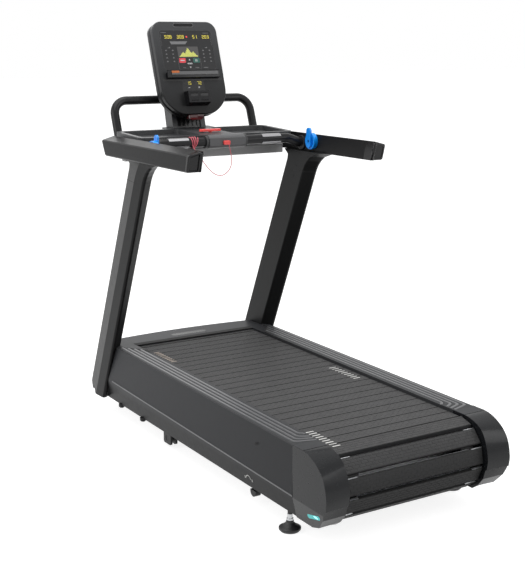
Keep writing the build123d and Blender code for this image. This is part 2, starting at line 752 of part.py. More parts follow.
CAP_WALL = 4.0
CAP_BOTTOM = SKIRT_BOTTOM - 4
cap_top = rail_top - 1
CAP_OUTER_ROUND = [
    (-759.0, cap_top),
    (-800.0, 310.0),
    (-846.0, 286.0),
    (-877.0, 250.0),
    (-BASE_HALF_LENGTH, 200.0),
    (-888.0, 158.0),
]
CAP_OUTER_LOWER = [(-882.0, 154.0), (-868.0, 122.0), (-834.0, 84.0), (-790.0, CAP_BOTTOM)]
CAP_INNER_ROUND = [
    (-764.0, cap_top),
    (-803.0, 311.0),
    (-842.0, 293.0),
    (-869.0, 257.0),
    (-885.0, 204.0),
    (-881.0, 158.0),
]
CAP_INNER_LOWER = [(-875.0, 154.0), (-866.0, 122.0), (-840.0, 90.0), (-815.0, CAP_BOTTOM)]


def shrink(points, wall):
    """The same points drawn in by a wall."""
    middle_z = (rail_top + SKIRT_BOTTOM) / 2
    return [(y + wall, z - wall if z > middle_z else z + wall) for y, z in points]


with BuildPart() as cap_body:
    loft(
        [
            cap_outline(COVER_HALF + 1, CAP_OUTER_ROUND, CAP_OUTER_LOWER),
            cap_outline(CAP_INNER_X, CAP_INNER_ROUND, CAP_INNER_LOWER),
        ]
    )
    add(skirt_cut(CREASE_REAR), mode=Mode.SUBTRACT)

with BuildPart() as cap_hollow:
    loft(
        [
            cap_outline(
                COVER_HALF + 1 - CAP_WALL,
                shrink(CAP_OUTER_ROUND, CAP_WALL),
                shrink(CAP_OUTER_LOWER, CAP_WALL),
            ),
            cap_outline(
                CAP_INNER_X + CAP_WALL,
                shrink(CAP_INNER_ROUND, CAP_WALL),
                shrink(CAP_INNER_LOWER, CAP_WALL),
            ),
        ]
    )
    # open towards the front
    extrude(cap_hollow.faces().sort_by(Axis.Y)[-1], amount=5)
    add(skirt_cut(CREASE_REAR, CAP_WALL), mode=Mode.SUBTRACT)

LIGHT_Y = -816.0
LIGHT_Z = 116.0
LIGHT_SLANT = 15.0
LIGHT_LONG = 76.0
LIGHT_HIGH = 14.0
skirt_angle = atan(SKIRT_SLOPE)
light_plane = Plane(
    origin=(CREASE_REAR[0] - SKIRT_SLOPE * (CREASE_REAR[1] - LIGHT_Z), LIGHT_Y, LIGHT_Z),
    x_dir=(0, 1, 0),
    z_dir=(cos(skirt_angle), 0, -sin(skirt_angle)),
)

with BuildPart() as rear_cap_right:
    add(cap_body.part)
    add(cap_hollow.part, mode=Mode.SUBTRACT)
    # slot that lets the cap slide back over the axle and the cross tubes
    with BuildSketch(Plane.YZ.offset(CAP_INNER_X - 1)):
        with Locations(((REAR_AXLE_Y + CAP_SEAM_Y) / 2 + 2, AXLE_HEIGHT)):
            Rectangle(CAP_SEAM_Y - REAR_AXLE_Y + 4, 2 * AXLE_RADIUS + 6)
        with Locations((REAR_AXLE_Y, AXLE_HEIGHT)):
            Circle(AXLE_RADIUS + 3)
    extrude(amount=CAP_WALL + 2, mode=Mode.SUBTRACT)
    # pocket for the status light
    with BuildSketch(light_plane.offset(-8)):
        with Locations(Location((0, 0, 0), (0, 0, -LIGHT_SLANT))):
            SlotOverall(LIGHT_LONG, LIGHT_HIGH)
    extrude(amount=12, mode=Mode.SUBTRACT)
with BuildPart() as rear_cap_left:
    add(rear_cap_right.part.mirror(Plane.YZ))

with BuildPart() as one_light:
    with BuildSketch(light_plane.offset(-2)):
        with Locations(Location((0, 0, 0), (0, 0, -LIGHT_SLANT))):
            SlotOverall(LIGHT_LONG - 2 * SEAT, LIGHT_HIGH - 2 * SEAT)
    extrude(amount=2)
with BuildPart() as status_lights:
    both_sides(one_light.part)


def hood_plan(inset, rear_y):
    """Plan of the leaning front hood at deck height, drawn in by a wall."""
    half = HOOD_HALF - inset
    side_y = HOOD_FRONT_Y - HOOD_BOW - inset
    with BuildSketch(Plane.XY, mode=Mode.PRIVATE) as plan:
        with BuildLine():
            ThreePointArc(
                (-half, lean(side_y, 0)),
                (0, lean(HOOD_FRONT_Y - inset, 0)),
                (half, lean(side_y, 0)),
            )
            Polyline(
                (half, lean(side_y, 0)),
                (half, lean(rear_y, 0)),
                (-half, lean(rear_y, 0)),
                (-half, lean(side_y, 0)),
            )
        make_face()
    return plan.sketch


with BuildPart() as front_cover:
    extrude(hood_plan(0, HOOD_BELT_EDGE), amount=HOOD_TOP * lean_length, dir=lean_direction)
    extrude(
        hood_plan(HOOD_WALL, HOOD_BELT_EDGE - 400),
        amount=(HOOD_TOP - HOOD_WALL) * lean_length,
        dir=lean_direction,
        mode=Mode.SUBTRACT,
    )
    # open below the skirt and behind the belt edge
    with Locations((0, HOOD_FRONT_Y, SKIRT_BOTTOM)):
        Box(
            2 * HOOD_HALF + 2,
            600,
            SKIRT_BOTTOM * 2,
            align=(Align.CENTER, Align.CENTER, Align.MAX),
            mode=Mode.SUBTRACT,
        )
    # side walls stop behind the front axle's bearing
    with Locations((0, FRONT_AXLE_Y + 70, SKIRT_BOTTOM)):
        Box(
            2 * HOOD_HALF + 2,
            500,
            HOOD_TOP - HOOD_WALL - SKIRT_BOTTOM,
            align=(Align.CENTER, Align.MAX, Align.MIN),
            mode=Mode.SUBTRACT,
        )
    with BuildSketch(Plane.XY.offset(rail_bottom)):
        with BuildLine():
            Polyline(
                (RAIL_INNER_X, HOOD_WING_REAR),
                (HOOD_HALF, HOOD_WING_REAR + HOOD_WING_SLANT),
                (HOOD_HALF, HOOD_BELT_EDGE + 40),
                (RAIL_INNER_X, HOOD_BELT_EDGE + 40),
                close=True,
            )
        make_face()
        mirror(about=Plane.YZ)
    extrude(amount=HOOD_TOP - rail_bottom)
    # clear of the frame's tubes and of the front axle
    for side in (-1, 1):
        with Locations((side * tube_middle_x, 0, TUBE_BOTTOM - 1)):
            Box(
                TUBE_WIDTH + 2,
                2 * (tube_front + 1),
                TUBE_HEIGHT + 2,
                align=(Align.CENTER, Align.CENTER, Align.MIN),
                mode=Mode.SUBTRACT,
            )

# ---------------------------------------------------------- handlebar structure
BEAM_REAR_Y = 516.0
BEAM_FRONT_Y = 551.0
BEAM_BOTTOM = 1092.0
BEAM_TOP = 1131.0
STUB_TOP_Y = 620.0
STUB_BOTTOM_Y = 581.0
ARM_WALL = 3.0


def arm_section(inset):
    """The right arm's cross-section, five-sided with a sloping top."""
    with BuildSketch(Plane.XZ, mode=Mode.PRIVATE) as section:
        with BuildLine():
            Polyline(
                (ARM_INNER_X + inset, ARM_BOTTOM + inset),
                (ARM_INNER_X + inset, ARM_TOP_INNER - inset),
                (ARM_OUTER_X - 5 - inset, ARM_TOP_OUTER + 1 - inset),
                (ARM_OUTER_X - inset, ARM_TOP_OUTER - 4 - inset),
                (ARM_OUTER_X - inset, ARM_BOTTOM + 5 + inset),
                (ARM_OUTER_X - 5 - inset, ARM_BOTTOM + inset),
                close=True,
            )
        make_face()
        if inset == 0:
            fillet(section.vertices(), 2.5)
    return section.sketch.moved(Location((0, ARM_REAR_Y - 40, 0)))


arm_length = STUB_TOP_Y + 40 - ARM_REAR_Y
arm_middle_z = (ARM_BOTTOM + ARM_TOP_INNER) / 2
cap_seam_plane = Plane(origin=(ARM_INNER_X, ARM_REAR_Y + 45, arm_middle_z), z_dir=(0.6, 1, 0.25))
cap_end_plane = Plane(origin=(ARM_INNER_X, ARM_REAR_Y, arm_middle_z), z_dir=(0, 1, 0.29))

with BuildPart() as one_head_shape:
    # the casting's share of the arm: a strip under it and its front stub
    with BuildSketch(Plane.YZ.offset(ARM_INNER_X - 20)):
        with BuildLine():
            strip = Polyline((200, ARM_BOTTOM - 4), (241, ARM_BOTTOM + 16), (508, ARM_BOTTOM + 16))
            curve = Spline(
                strip @ 1,
                (538, ARM_BOTTOM + 28),
                (562, ARM_TOP_OUTER),
                (572, ARM_TOP_INNER + 14),
                tangents=((1, 0), (0.4, 1)),
            )
            Polyline(
                curve @ 1,
                (STUB_TOP_Y + 90, ARM_TOP_INNER + 14),
                (STUB_TOP_Y + 90, ARM_BOTTOM - 4),
                strip @ 0,
            )
        make_face()
    extrude(amount=ARM_OUTER_X - ARM_INNER_X + 40)

with BuildPart() as arm_right:
    extrude(arm_section(0), amount=-arm_length)
    extrude(arm_section(ARM_WALL), amount=-arm_length, mode=Mode.SUBTRACT)
    split(bisect_by=cap_seam_plane, keep=Keep.TOP)
    add(one_head_shape.part, mode=Mode.SUBTRACT)
    add(one_post.part, mode=Mode.SUBTRACT)
    # pin that the speed or incline paddle turns on
    with BuildSketch(Plane.YZ.offset(PADDLE_OUTER_X - PADDLE_THICK - 4)):
        with Locations((PADDLE_Y, PADDLE_Z)):
            Circle(PADDLE_PIN)
    extrude(amount=ARM_INNER_X + 1 - PADDLE_OUTER_X + PADDLE_THICK + 4)
with BuildPart() as arm_left:
    add(arm_right.part.mirror(Plane.YZ))

with BuildPart() as one_arm_cap:
    extrude(arm_section(0), amount=-arm_length)
    split(bisect_by=cap_seam_plane, keep=Keep.BOTTOM)
    split(bisect_by=cap_end_plane, keep=Keep.TOP)
with BuildPart() as arm_end_caps:
    both_sides(one_arm_cap.part)

stub_slope = (STUB_TOP_Y - STUB_BOTTOM_Y) / (ARM_TOP_INNER - ARM_BOTTOM)
stub_plane = Plane(origin=(0, STUB_BOTTOM_Y, ARM_BOTTOM), z_dir=(0, 1, -stub_slope))
with BuildPart() as one_casting:
    extrude(arm_section(0), amount=-arm_length)
    add(one_head_shape.part, mode=Mode.INTERSECT)
    split(bisect_by=stub_plane, keep=Keep.BOTTOM)

with BuildPart() as upright_right:
    add(one_post.part)
    add(one_casting.part)
with BuildPart() as upright_left:
    add(upright_right.part.mirror(Plane.YZ))

with BuildPart() as cross_beam:
    with Locations((0, BEAM_REAR_Y, BEAM_BOTTOM)):
        Box(
            2 * ARM_INNER_X,
            BEAM_FRONT_Y - BEAM_REAR_Y,
            BEAM_TOP - BEAM_BOTTOM,
            align=(Align.CENTER, Align.MIN, Align.MIN),
        )
    fillet(cross_beam.edges().filter_by(Axis.X), 6)

# --------------------------------------------------- tray, grip bar and controls
TRAY_HALF = 345.0
TRAY_REAR_Y = 411.0
TRAY_FRONT_Y = 651.0
TRAY_THICK = 34.0
TRAY_SLOPE = 2.4               # degrees, rising towards the console
TRAY_ROUND = 26.0
NECK_SEAT_HALF = 110.0
NECK_SEAT_FRONT_Y = 722.0
POCKET_INNER = 74.0
POCKET_OUTER = 326.0
POCKET_DEPTH = 20.0
STOP_Y = 491.0
STOP_STEM = 7.0
tray_plane = Plane(
    origin=(0, TRAY_REAR_Y, TRAY_TOP - TRAY_THICK),
    x_dir=(1, 0, 0),
    z_dir=(0, -sin(radians(TRAY_SLOPE)), cos(radians(TRAY_SLOPE))),
)
tray_depth = TRAY_FRONT_Y - TRAY_REAR_Y

with BuildPart() as console_tray:
    with BuildSketch(tray_plane):
        with Locations((0, tray_depth / 2)):
            RectangleRounded(2 * TRAY_HALF, tray_depth, TRAY_ROUND)
        with Locations((0, NECK_SEAT_FRONT_Y - TRAY_REAR_Y - 100)):
            RectangleRounded(2 * NECK_SEAT_HALF, 200, TRAY_ROUND)
    extrude(amount=TRAY_THICK)
    with BuildSketch(tray_plane.offset(TRAY_THICK - POCKET_DEPTH)):
        for side in (-1, 1):
            with Locations((side * (POCKET_INNER + POCKET_OUTER) / 2, tray_depth / 2)):
                RectangleRounded(POCKET_OUTER - POCKET_INNER, tray_depth - 34, TRAY_ROUND - 8)
    extrude(amount=POCKET_DEPTH, mode=Mode.SUBTRACT)
    # two feet on the cross beam, trimmed flush with its top
    for side in (-1, 1):
        with Locations((side * POCKET_OUTER / 2, (BEAM_REAR_Y + BEAM_FRONT_Y) / 2, BEAM_TOP)):
            Box(70, BEAM_FRONT_Y - BEAM_REAR_Y, 32, align=(Align.CENTER, Align.CENTER, Align.MIN))
    with BuildSketch(Plane.XY.offset(TRAY_TOP - TRAY_THICK - 10)):
        with Locations((0, STOP_Y)):
            Circle(STOP_STEM + RUN)
    extrude(amount=TRAY_THICK * 2, mode=Mode.SUBTRACT)

STOP_HALF = 48.0
STOP_DEPTH = 24.0
STOP_THICK = 9.0
STOP_TRAVEL = 3.0
stop_under = tray_plane.origin.Z + TRAY_THICK + (STOP_Y - TRAY_REAR_Y) * tan(radians(TRAY_SLOPE))
with BuildPart() as stop_bar:
    with BuildSketch(Plane.XY.offset(stop_under + STOP_TRAVEL + 1)):
        with Locations((0, STOP_Y)):
            SlotOverall(2 * STOP_HALF, STOP_DEPTH)
    extrude(amount=STOP_THICK)
    fillet(stop_bar.edges().group_by(Axis.Z)[-1], 3)
    with BuildSketch(Plane.XY.offset(stop_under - TRAY_THICK * 0.5)):
        with Locations((0, STOP_Y)):
            Circle(STOP_STEM)
    extrude(amount=TRAY_THICK * 0.5 + STOP_TRAVEL + 2)

BEND_X = 290.0
BEND_DROP = 21.0
BEND_ROUND = 70.0
GRIP_WALL = 2.5
MOUNT_RADIUS = 29.0
MOUNT_THICK = 9.0
grip_end = (ARM_INNER_X - MOUNT_THICK, GRIP_Y - 5, GRIP_Z - BEND_DROP)
grip_mirror = (-grip_end[0], grip_end[1], grip_end[2])

with BuildPart() as grip_bar:
    with BuildLine():
        grip_path = FilletPolyline(
            grip_mirror, (-BEND_X, GRIP_Y, GRIP_Z), (BEND_X, GRIP_Y, GRIP_Z), grip_end, radius=BEND_ROUND
        )
    with BuildSketch(Plane(origin=grip_path @ 0, z_dir=grip_path % 0)):
        Circle(GRIP_RADIUS)
        Circle(GRIP_RADIUS - GRIP_WALL, mode=Mode.SUBTRACT)
    sweep(path=grip_path)
    for side in (-1, 1):
        with Locations((side * ARM_INNER_X, 0, 0)):
            Box(2 * (MOUNT_THICK - 1), 4000, 4000, mode=Mode.SUBTRACT)

HOUSING_HALF = 80.0
HOUSING_RADIUS = 27.0
COLLAR_WIDTH = 12.0
with BuildPart() as one_grip_mount:
    with BuildSketch(Plane.YZ.offset(ARM_INNER_X - MOUNT_THICK + 1)):
        with Locations((grip_end[1], grip_end[2])):
            Circle(MOUNT_RADIUS)
    extrude(amount=MOUNT_THICK - 1)
    with BuildSketch(Plane.YZ.offset(HOUSING_HALF)):
        with Locations((GRIP_Y, GRIP_Z)):
            Circle(HOUSING_RADIUS - 2)
            Circle(GRIP_RADIUS + SEAT, mode=Mode.SUBTRACT)
    extrude(amount=COLLAR_WIDTH)
with BuildPart() as grip_mounts:
    both_sides(one_grip_mount.part)

SENSOR_INNER_X = 166.0
SENSOR_OUTER_X = 252.0
SENSOR_THICK = 1.6
SENSOR_SPAN = 58.0             # half angle that a plate wraps, in degrees
with BuildPart() as one_sensor_pair:
    with BuildSketch(Plane.YZ.offset(SENSOR_INNER_X)):
        with Locations((GRIP_Y, GRIP_Z)):
            Circle(GRIP_RADIUS + SEAT + SENSOR_THICK)
            Circle(GRIP_RADIUS + SEAT, mode=Mode.SUBTRACT)
            Rectangle(120, 2 * GRIP_RADIUS * cos(radians(SENSOR_SPAN)), mode=Mode.SUBTRACT)
    extrude(amount=SENSOR_OUTER_X - SENSOR_INNER_X)
with BuildPart() as pulse_sensors:
    both_sides(one_sensor_pair.part)

KEY_WIDTH = 28.0
KEY_HEIGHT = 17.0
KEY_STAND = 9.0
KEY_X = -8.0
KEY_Z = GRIP_Z - 4
housing_face_y = GRIP_Y - HOUSING_RADIUS - 1
with BuildPart() as grip_housing:
    with BuildSketch(Plane.YZ.offset(-HOUSING_HALF)):
        with Locations((GRIP_Y, GRIP_Z)):
            Circle(HOUSING_RADIUS)
            Rectangle(
                TRAY_REAR_Y - 3 - GRIP_Y, 2 * HOUSING_RADIUS - 18, align=(Align.MIN, Align.CENTER)
            )
            Rectangle(
                HOUSING_RADIUS + 1, KEY_HEIGHT + 12, align=(Align.MAX, Align.CENTER)
            )
            Circle(GRIP_RADIUS + SEAT, mode=Mode.SUBTRACT)
    extrude(amount=2 * HOUSING_HALF)
    # slot that the safety key's blade pushes into
    with Locations((KEY_X, housing_face_y, KEY_Z)):
        Box(
            KEY_WIDTH - 10 + 2 * RUN,
            HOUSING_RADIUS - GRIP_RADIUS + 1 - 2,
            5 + 2 * RUN,
            align=(Align.CENTER, Align.MIN, Align.CENTER),
            mode=Mode.SUBTRACT,
        )

with BuildPart() as safety_key:
    with BuildSketch(Plane.XZ.offset(-housing_face_y + RUN)):
        with Locations((KEY_X, KEY_Z)):
            RectangleRounded(KEY_WIDTH, KEY_HEIGHT, 5)
    extrude(amount=KEY_STAND)
    fillet(safety_key.edges().group_by(Axis.Y)[0], 2.5)
    with Locations((KEY_X, housing_face_y - 2, KEY_Z)):
        Box(KEY_WIDTH - 10, 6, 5, align=(Align.CENTER, Align.MIN, Align.CENTER))

# thumb paddles on the arms' inner faces
with BuildPart() as paddle_right:
    with BuildSketch(Plane.YZ.offset(PADDLE_OUTER_X)):
        with Locations((PADDLE_Y, PADDLE_Z)):
            Circle(PADDLE_RADIUS)
            Circle(PADDLE_PIN + SEAT, mode=Mode.SUBTRACT)
    extrude(amount=-PADDLE_THICK)
    with BuildSketch(Plane.YZ.offset(PADDLE_OUTER_X - PADDLE_THICK + 5)):
        with Locations((PADDLE_Y, PADDLE_Z)):
            Circle(PADDLE_RADIUS - 9)
            Circle(PADDLE_HUB + 3, mode=Mode.SUBTRACT)
    extrude(amount=-6, mode=Mode.SUBTRACT)
    with BuildSketch(Plane.YZ.offset(PADDLE_OUTER_X - PADDLE_THICK)):
        with Locations((PADDLE_Y, PADDLE_Z + PADDLE_FIN_RISE)):
            SlotOverall(PADDLE_FIN_HEIGHT, PADDLE_FIN_WIDTH, rotation=90)
        with Locations((PADDLE_Y, PADDLE_Z)):
            Circle(PADDLE_PIN + RUN, mode=Mode.SUBTRACT)
    extrude(amount=-PADDLE_FIN_THICK)
with BuildPart() as paddle_left:
    add(paddle_right.part.mirror(Plane.YZ))

# accessory hoop behind the tray
HOOP_FOOT_Y = BEAM_FRONT_Y
HOOP_FOOT_Z = (BEAM_BOTTOM + BEAM_TOP) / 2
HOOP_LEAN = 0.36
HOOP_BEND = 58.0
HOOP_WALL = 2.5
hoop_heel_y = HOOP_Y - HOOP_LEAN * (TRAY_TOP - 7 - HOOP_FOOT_Z)
hoop_top_y = hoop_heel_y + HOOP_LEAN * (HOOP_TOP - HOOP_FOOT_Z)
with BuildPart() as accessory_hoop:
    with BuildLine():
        hoop_path = FilletPolyline(
            (-HOOP_X, HOOP_FOOT_Y, HOOP_FOOT_Z),
            (-HOOP_X, hoop_heel_y, HOOP_FOOT_Z),
            (-HOOP_X, hoop_top_y, HOOP_TOP),
            (HOOP_X, hoop_top_y, HOOP_TOP),
            (HOOP_X, hoop_heel_y, HOOP_FOOT_Z),
            (HOOP_X, HOOP_FOOT_Y, HOOP_FOOT_Z),
            radius=HOOP_BEND,
        )
    with BuildSketch(Plane(origin=hoop_path @ 0, z_dir=hoop_path % 0)):
        Circle(HOOP_RADIUS)
        Circle(HOOP_RADIUS - HOOP_WALL, mode=Mode.SUBTRACT)
    sweep(path=hoop_path)

# ----------------------------------------------------------------------- console
tilt = radians(HEAD_TILT)
head_face = Plane(origin=(0, HEAD_Y, HEAD_Z), x_dir=(1, 0, 0), z_dir=(0, -cos(tilt), sin(tilt)))
HEAD_ROUND = 44.0
BEZEL_DEPTH = 22.0
CHIN_HALF = 84.0


def head_side(x):
    """Side view plane of the console at a given X: local x runs up the face, y out of it."""
    return Plane(origin=(x, HEAD_Y, HEAD_Z), x_dir=(0, sin(tilt), cos(tilt)), z_dir=(1, 0, 0))


def up_face(height):
    """Distance up the console's face from its middle for a height above the floor."""
    return (height - HEAD_Z) / cos(tilt)


def head_outline(inset, plane):
    """The console's outline: square shoulders, and sides that draw in to a rounded chin."""
    half = HEAD_HALF - inset
    top = HEAD_UP - inset
    chin = -HEAD_DOWN + inset
    with BuildSketch(plane, mode=Mode.PRIVATE) as outline:
        with BuildLine():
            right = Polyline((0, top), (half, top), (half, up_face(1372)))
            side = Spline(
                right @ 1,
                (half - 18, up_face(1306)),
                (CHIN_HALF - inset, chin + 8),
                (0, chin),
                tangents=((0, -1), (-1, 0)),
            )
            Line(side @ 1, right @ 0)
        make_face()
        fillet(outline.vertices().group_by(Axis.Y)[-1].sort_by(Axis.X)[-1], HEAD_ROUND - inset)
        mirror(about=Plane.YZ)
    return outline.sketch


PANEL_HALF = 119.0
PANEL_LOW = up_face(1437)
PANEL_HIGH = up_face(1593)
PANEL_THICK = 3.0
PLATE_HALF = 50.0
PLATE_LOW = up_face(1353)
PLATE_HIGH = up_face(1396)
with BuildPart() as console_bezel:
    extrude(head_outline(0, head_face), amount=-BEZEL_DEPTH)
    with BuildSketch(head_face):
        with Locations((0, (PANEL_LOW + PANEL_HIGH) / 2)):
            RectangleRounded(2 * PANEL_HALF, PANEL_HIGH - PANEL_LOW, 12)
        with Locations((0, (PLATE_LOW + PLATE_HIGH) / 2)):
            RectangleRounded(2 * PLATE_HALF, PLATE_HIGH - PLATE_LOW, 5)
    extrude(amount=-PANEL_THICK, mode=Mode.SUBTRACT)
    fillet(console_bezel.faces().sort_by(Axis.Y)[0].outer_wire().edges(), 4)

with BuildPart() as display_windows:
    with BuildSketch(head_face.offset(-PANEL_THICK)):
        with Locations((0, (PANEL_LOW + PANEL_HIGH) / 2)):
            RectangleRounded(2 * (PANEL_HALF - SEAT), PANEL_HIGH - PANEL_LOW - 2 * SEAT, 12 - SEAT)
        with Locations((0, (PLATE_LOW + PLATE_HIGH) / 2)):
            RectangleRounded(2 * (PLATE_HALF - SEAT), PLATE_HIGH - PLATE_LOW - 2 * SEAT, 5 - SEAT)
    extrude(amount=PANEL_THICK - 0.4)

with BuildPart() as console_back:
    extrude(head_outline(0, head_face.offset(-BEZEL_DEPTH)), amount=BEZEL_DEPTH - HEAD_DEPTH)
    chamfer(console_back.faces().sort_by(Axis.Y)[-1].outer_wire().edges(), 13)

RACK_HALF = 119.0
RACK_STAND = 20.0
RACK_LOW = up_face(1399)
RACK_HIGH = up_face(1431)
with BuildPart() as reading_rack:
    with BuildSketch(head_side(-RACK_HALF)):
        with BuildLine():
            Polyline(
                (RACK_LOW, 0),
                (RACK_LOW + 4, RACK_STAND - 4),
                (RACK_HIGH - 4, RACK_STAND),
                (RACK_HIGH, RACK_STAND),
                (RACK_HIGH, RACK_STAND - 3),
                (RACK_HIGH - 9, RACK_STAND - 5),
                (RACK_HIGH - 9, 0),
                close=True,
            )
        make_face()
    extrude(amount=2 * RACK_HALF)

BLOCK_HALF = 49.0
BLOCK_STAND = 34.0
BLOCK_LOW = up_face(1292)
BLOCK_HIGH = up_face(1349)
ROCKER_HALF_WIDTH = 17.0
ROCKER_HALF = 15.0
ROCKER_X = 23.0
ROCKER_WELL = 8.0
ROCKER_PIVOT_DEPTH = 4.0
ROCKER_AXLE = 2.0
rocker_up = (BLOCK_LOW + BLOCK_HIGH) / 2
with BuildPart() as rocker_block:
    with BuildSketch(head_side(-BLOCK_HALF)):
        with BuildLine():
            Polyline(
                (BLOCK_LOW, 0),
                (BLOCK_LOW + 7, BLOCK_STAND),
                (BLOCK_HIGH - 5, BLOCK_STAND),
                (BLOCK_HIGH, 0),
                close=True,
            )
        make_face()
    extrude(amount=2 * BLOCK_HALF)
    with BuildSketch(head_face.offset(BLOCK_STAND)):
        with Locations((-ROCKER_X, rocker_up), (ROCKER_X, rocker_up)):
            Rectangle(2 * (ROCKER_HALF_WIDTH + RUN), 2 * (ROCKER_HALF + 1))
    extrude(amount=-ROCKER_WELL, mode=Mode.SUBTRACT)
    for centre_x in (-ROCKER_X, ROCKER_X):
        with BuildSketch(head_side(centre_x - ROCKER_HALF_WIDTH - 2)):
            with Locations((rocker_up, BLOCK_STAND - ROCKER_PIVOT_DEPTH)):
                Circle(ROCKER_AXLE + SEAT)
        extrude(amount=2 * ROCKER_HALF_WIDTH + 4, mode=Mode.SUBTRACT)


def build_rocker(centre_x):
    """A rocker switch cap with a dished face, a V-shaped back and its axle."""
    pivot_out = BLOCK_STAND - ROCKER_PIVOT_DEPTH
    with BuildPart(mode=Mode.PRIVATE) as rocker:
        with BuildSketch(head_side(centre_x - ROCKER_HALF_WIDTH)):
            with BuildLine():
                ends = Polyline(
                    (rocker_up - ROCKER_HALF + 1, pivot_out + 5),
                    (rocker_up - ROCKER_HALF + 1, pivot_out + 1),
                    (rocker_up, pivot_out - ROCKER_AXLE - 1),
                    (rocker_up + ROCKER_HALF - 1, pivot_out + 1),
                    (rocker_up + ROCKER_HALF - 1, pivot_out + 5),
                )
                ThreePointArc(ends @ 1, (rocker_up, pivot_out + 3.5), ends @ 0)
            make_face()
        extrude(amount=2 * ROCKER_HALF_WIDTH)
        with BuildSketch(head_side(centre_x - ROCKER_HALF_WIDTH - 1.5)):
            with Locations((rocker_up, pivot_out)):
                Circle(ROCKER_AXLE)
        extrude(amount=2 * ROCKER_HALF_WIDTH + 3)
    return rocker.part


with BuildPart() as rocker_left:
    add(build_rocker(-ROCKER_X))
with BuildPart() as rocker_right:
    add(build_rocker(ROCKER_X))

NECK_HALF = 76.0
NECK_FOOT_Y = 663.0
NECK_DEEP = 64.0
NECK_LEAN = 0.3
CHEEK_WIDTH = 22.0
neck_foot_z = TRAY_TOP + (NECK_FOOT_Y - TRAY_REAR_Y) * tan(radians(TRAY_SLOPE))
neck_kink = (NECK_FOOT_Y + NECK_LEAN * 110, neck_foot_z + 110)


def head_back_y(height):
    """Y of the console's flat back at a height."""
    return HEAD_Y + (height - HEAD_Z) * tan(tilt) + HEAD_DEPTH / cos(tilt)


with BuildPart() as console_neck:
    with BuildSketch(Plane.YZ.offset(-NECK_HALF)):
        with BuildLine():
            Polyline(
                (NECK_FOOT_Y, neck_foot_z - 10),
                neck_kink,
                (head_back_y(1350), 1350),
                (head_back_y(1430), 1430),
                (head_back_y(1430) + 12, 1428),
                (neck_kink[0] + NECK_DEEP, neck_kink[1] + 20),
                (NECK_FOOT_Y + NECK_DEEP, neck_foot_z - 10),
                close=True,
            )
        make_face()
    extrude(amount=2 * NECK_HALF)
    with BuildSketch(Plane.YZ.offset(-NECK_HALF + CHEEK_WIDTH)):
        with BuildLine():
            Polyline(
                (NECK_FOOT_Y - 20, neck_foot_z - 10),
                (neck_kink[0] - 20, neck_kink[1] + 10),
                (neck_kink[0] + 9, neck_kink[1] + 10),
                (NECK_FOOT_Y + 6, neck_foot_z - 10),
                close=True,
            )
        make_face()
    extrude(amount=2 * (NECK_HALF - CHEEK_WIDTH), mode=Mode.SUBTRACT)
    split(bisect_by=tray_plane.offset(TRAY_THICK), keep=Keep.TOP)
    # the hoop's top bar runs through the neck
    with BuildSketch(Plane.YZ.offset(-NECK_HALF - 1)):
        with Locations((hoop_top_y, HOOP_TOP)):
            Circle(HOOP_RADIUS + SEAT)
    extrude(amount=2 * NECK_HALF + 2, mode=Mode.SUBTRACT)

# --------------------------------------------------------- running gear and lift
FOOT_HEIGHT = 35.0
STEM_TOP = 132.0


def build_foot(side):
    """A screw-in levelling foot: a flared pad, its rim and a threaded stem."""
    with BuildPart(mode=Mode.PRIVATE) as foot:
        with BuildSketch(Plane.XZ):
            with BuildLine():
                pad = Polyline(
                    (0, 0),
                    (FOOT_RADIUS - 5, 0),
                    (FOOT_RADIUS, 6),
                    (FOOT_RADIUS, 12),
                    (FOOT_RADIUS - 7, 16),
                )
                Spline(
                    pad @ 1,
                    (FOOT_RADIUS * 0.5, 24),
                    (FOOT_RADIUS * 0.34, FOOT_HEIGHT),
                    tangents=((-1, 0.4), (0, 1)),
                )
                Polyline(
                    (FOOT_RADIUS * 0.34, FOOT_HEIGHT),
                    (STEM_RADIUS, FOOT_HEIGHT),
                    (STEM_RADIUS, STEM_TOP - 2),
                    (STEM_RADIUS - 2, STEM_TOP),
                    (0, STEM_TOP),
                    (0, 0),
                )
            make_face()
        revolve(axis=Axis.Z)
    return foot.part.moved(Location((side * FOOT_X, FOOT_Y, 0)))


with BuildPart() as rear_foot_right:
    add(build_foot(1))
with BuildPart() as rear_foot_left:
    add(build_foot(-1))

with BuildPart() as one_bumper:
    BUMPER_X = 320.0
    BUMPER_Y = -392.0
    BUMPER_RADIUS = 18.0
    BUMPER_TOP = 42.0
    with BuildSketch(Plane.YZ.offset(BUMPER_X - 11)):
        with Locations((BUMPER_Y, BUMPER_TOP)):
            Circle(BUMPER_RADIUS)
            Rectangle(60, 60, align=(Align.CENTER, Align.MIN), mode=Mode.SUBTRACT)
        with Locations((BUMPER_Y, BUMPER_TOP)):
            Rectangle(2 * BUMPER_RADIUS, 5, align=(Align.CENTER, Align.MIN))
    extrude(amount=22)
    with Locations((BUMPER_X, BUMPER_Y, BUMPER_TOP)):
        Cylinder(7, TUBE_BOTTOM - BUMPER_TOP, align=(Align.CENTER, Align.CENTER, Align.MIN))
with BuildPart() as frame_bumpers:
    both_sides(one_bumper.part)

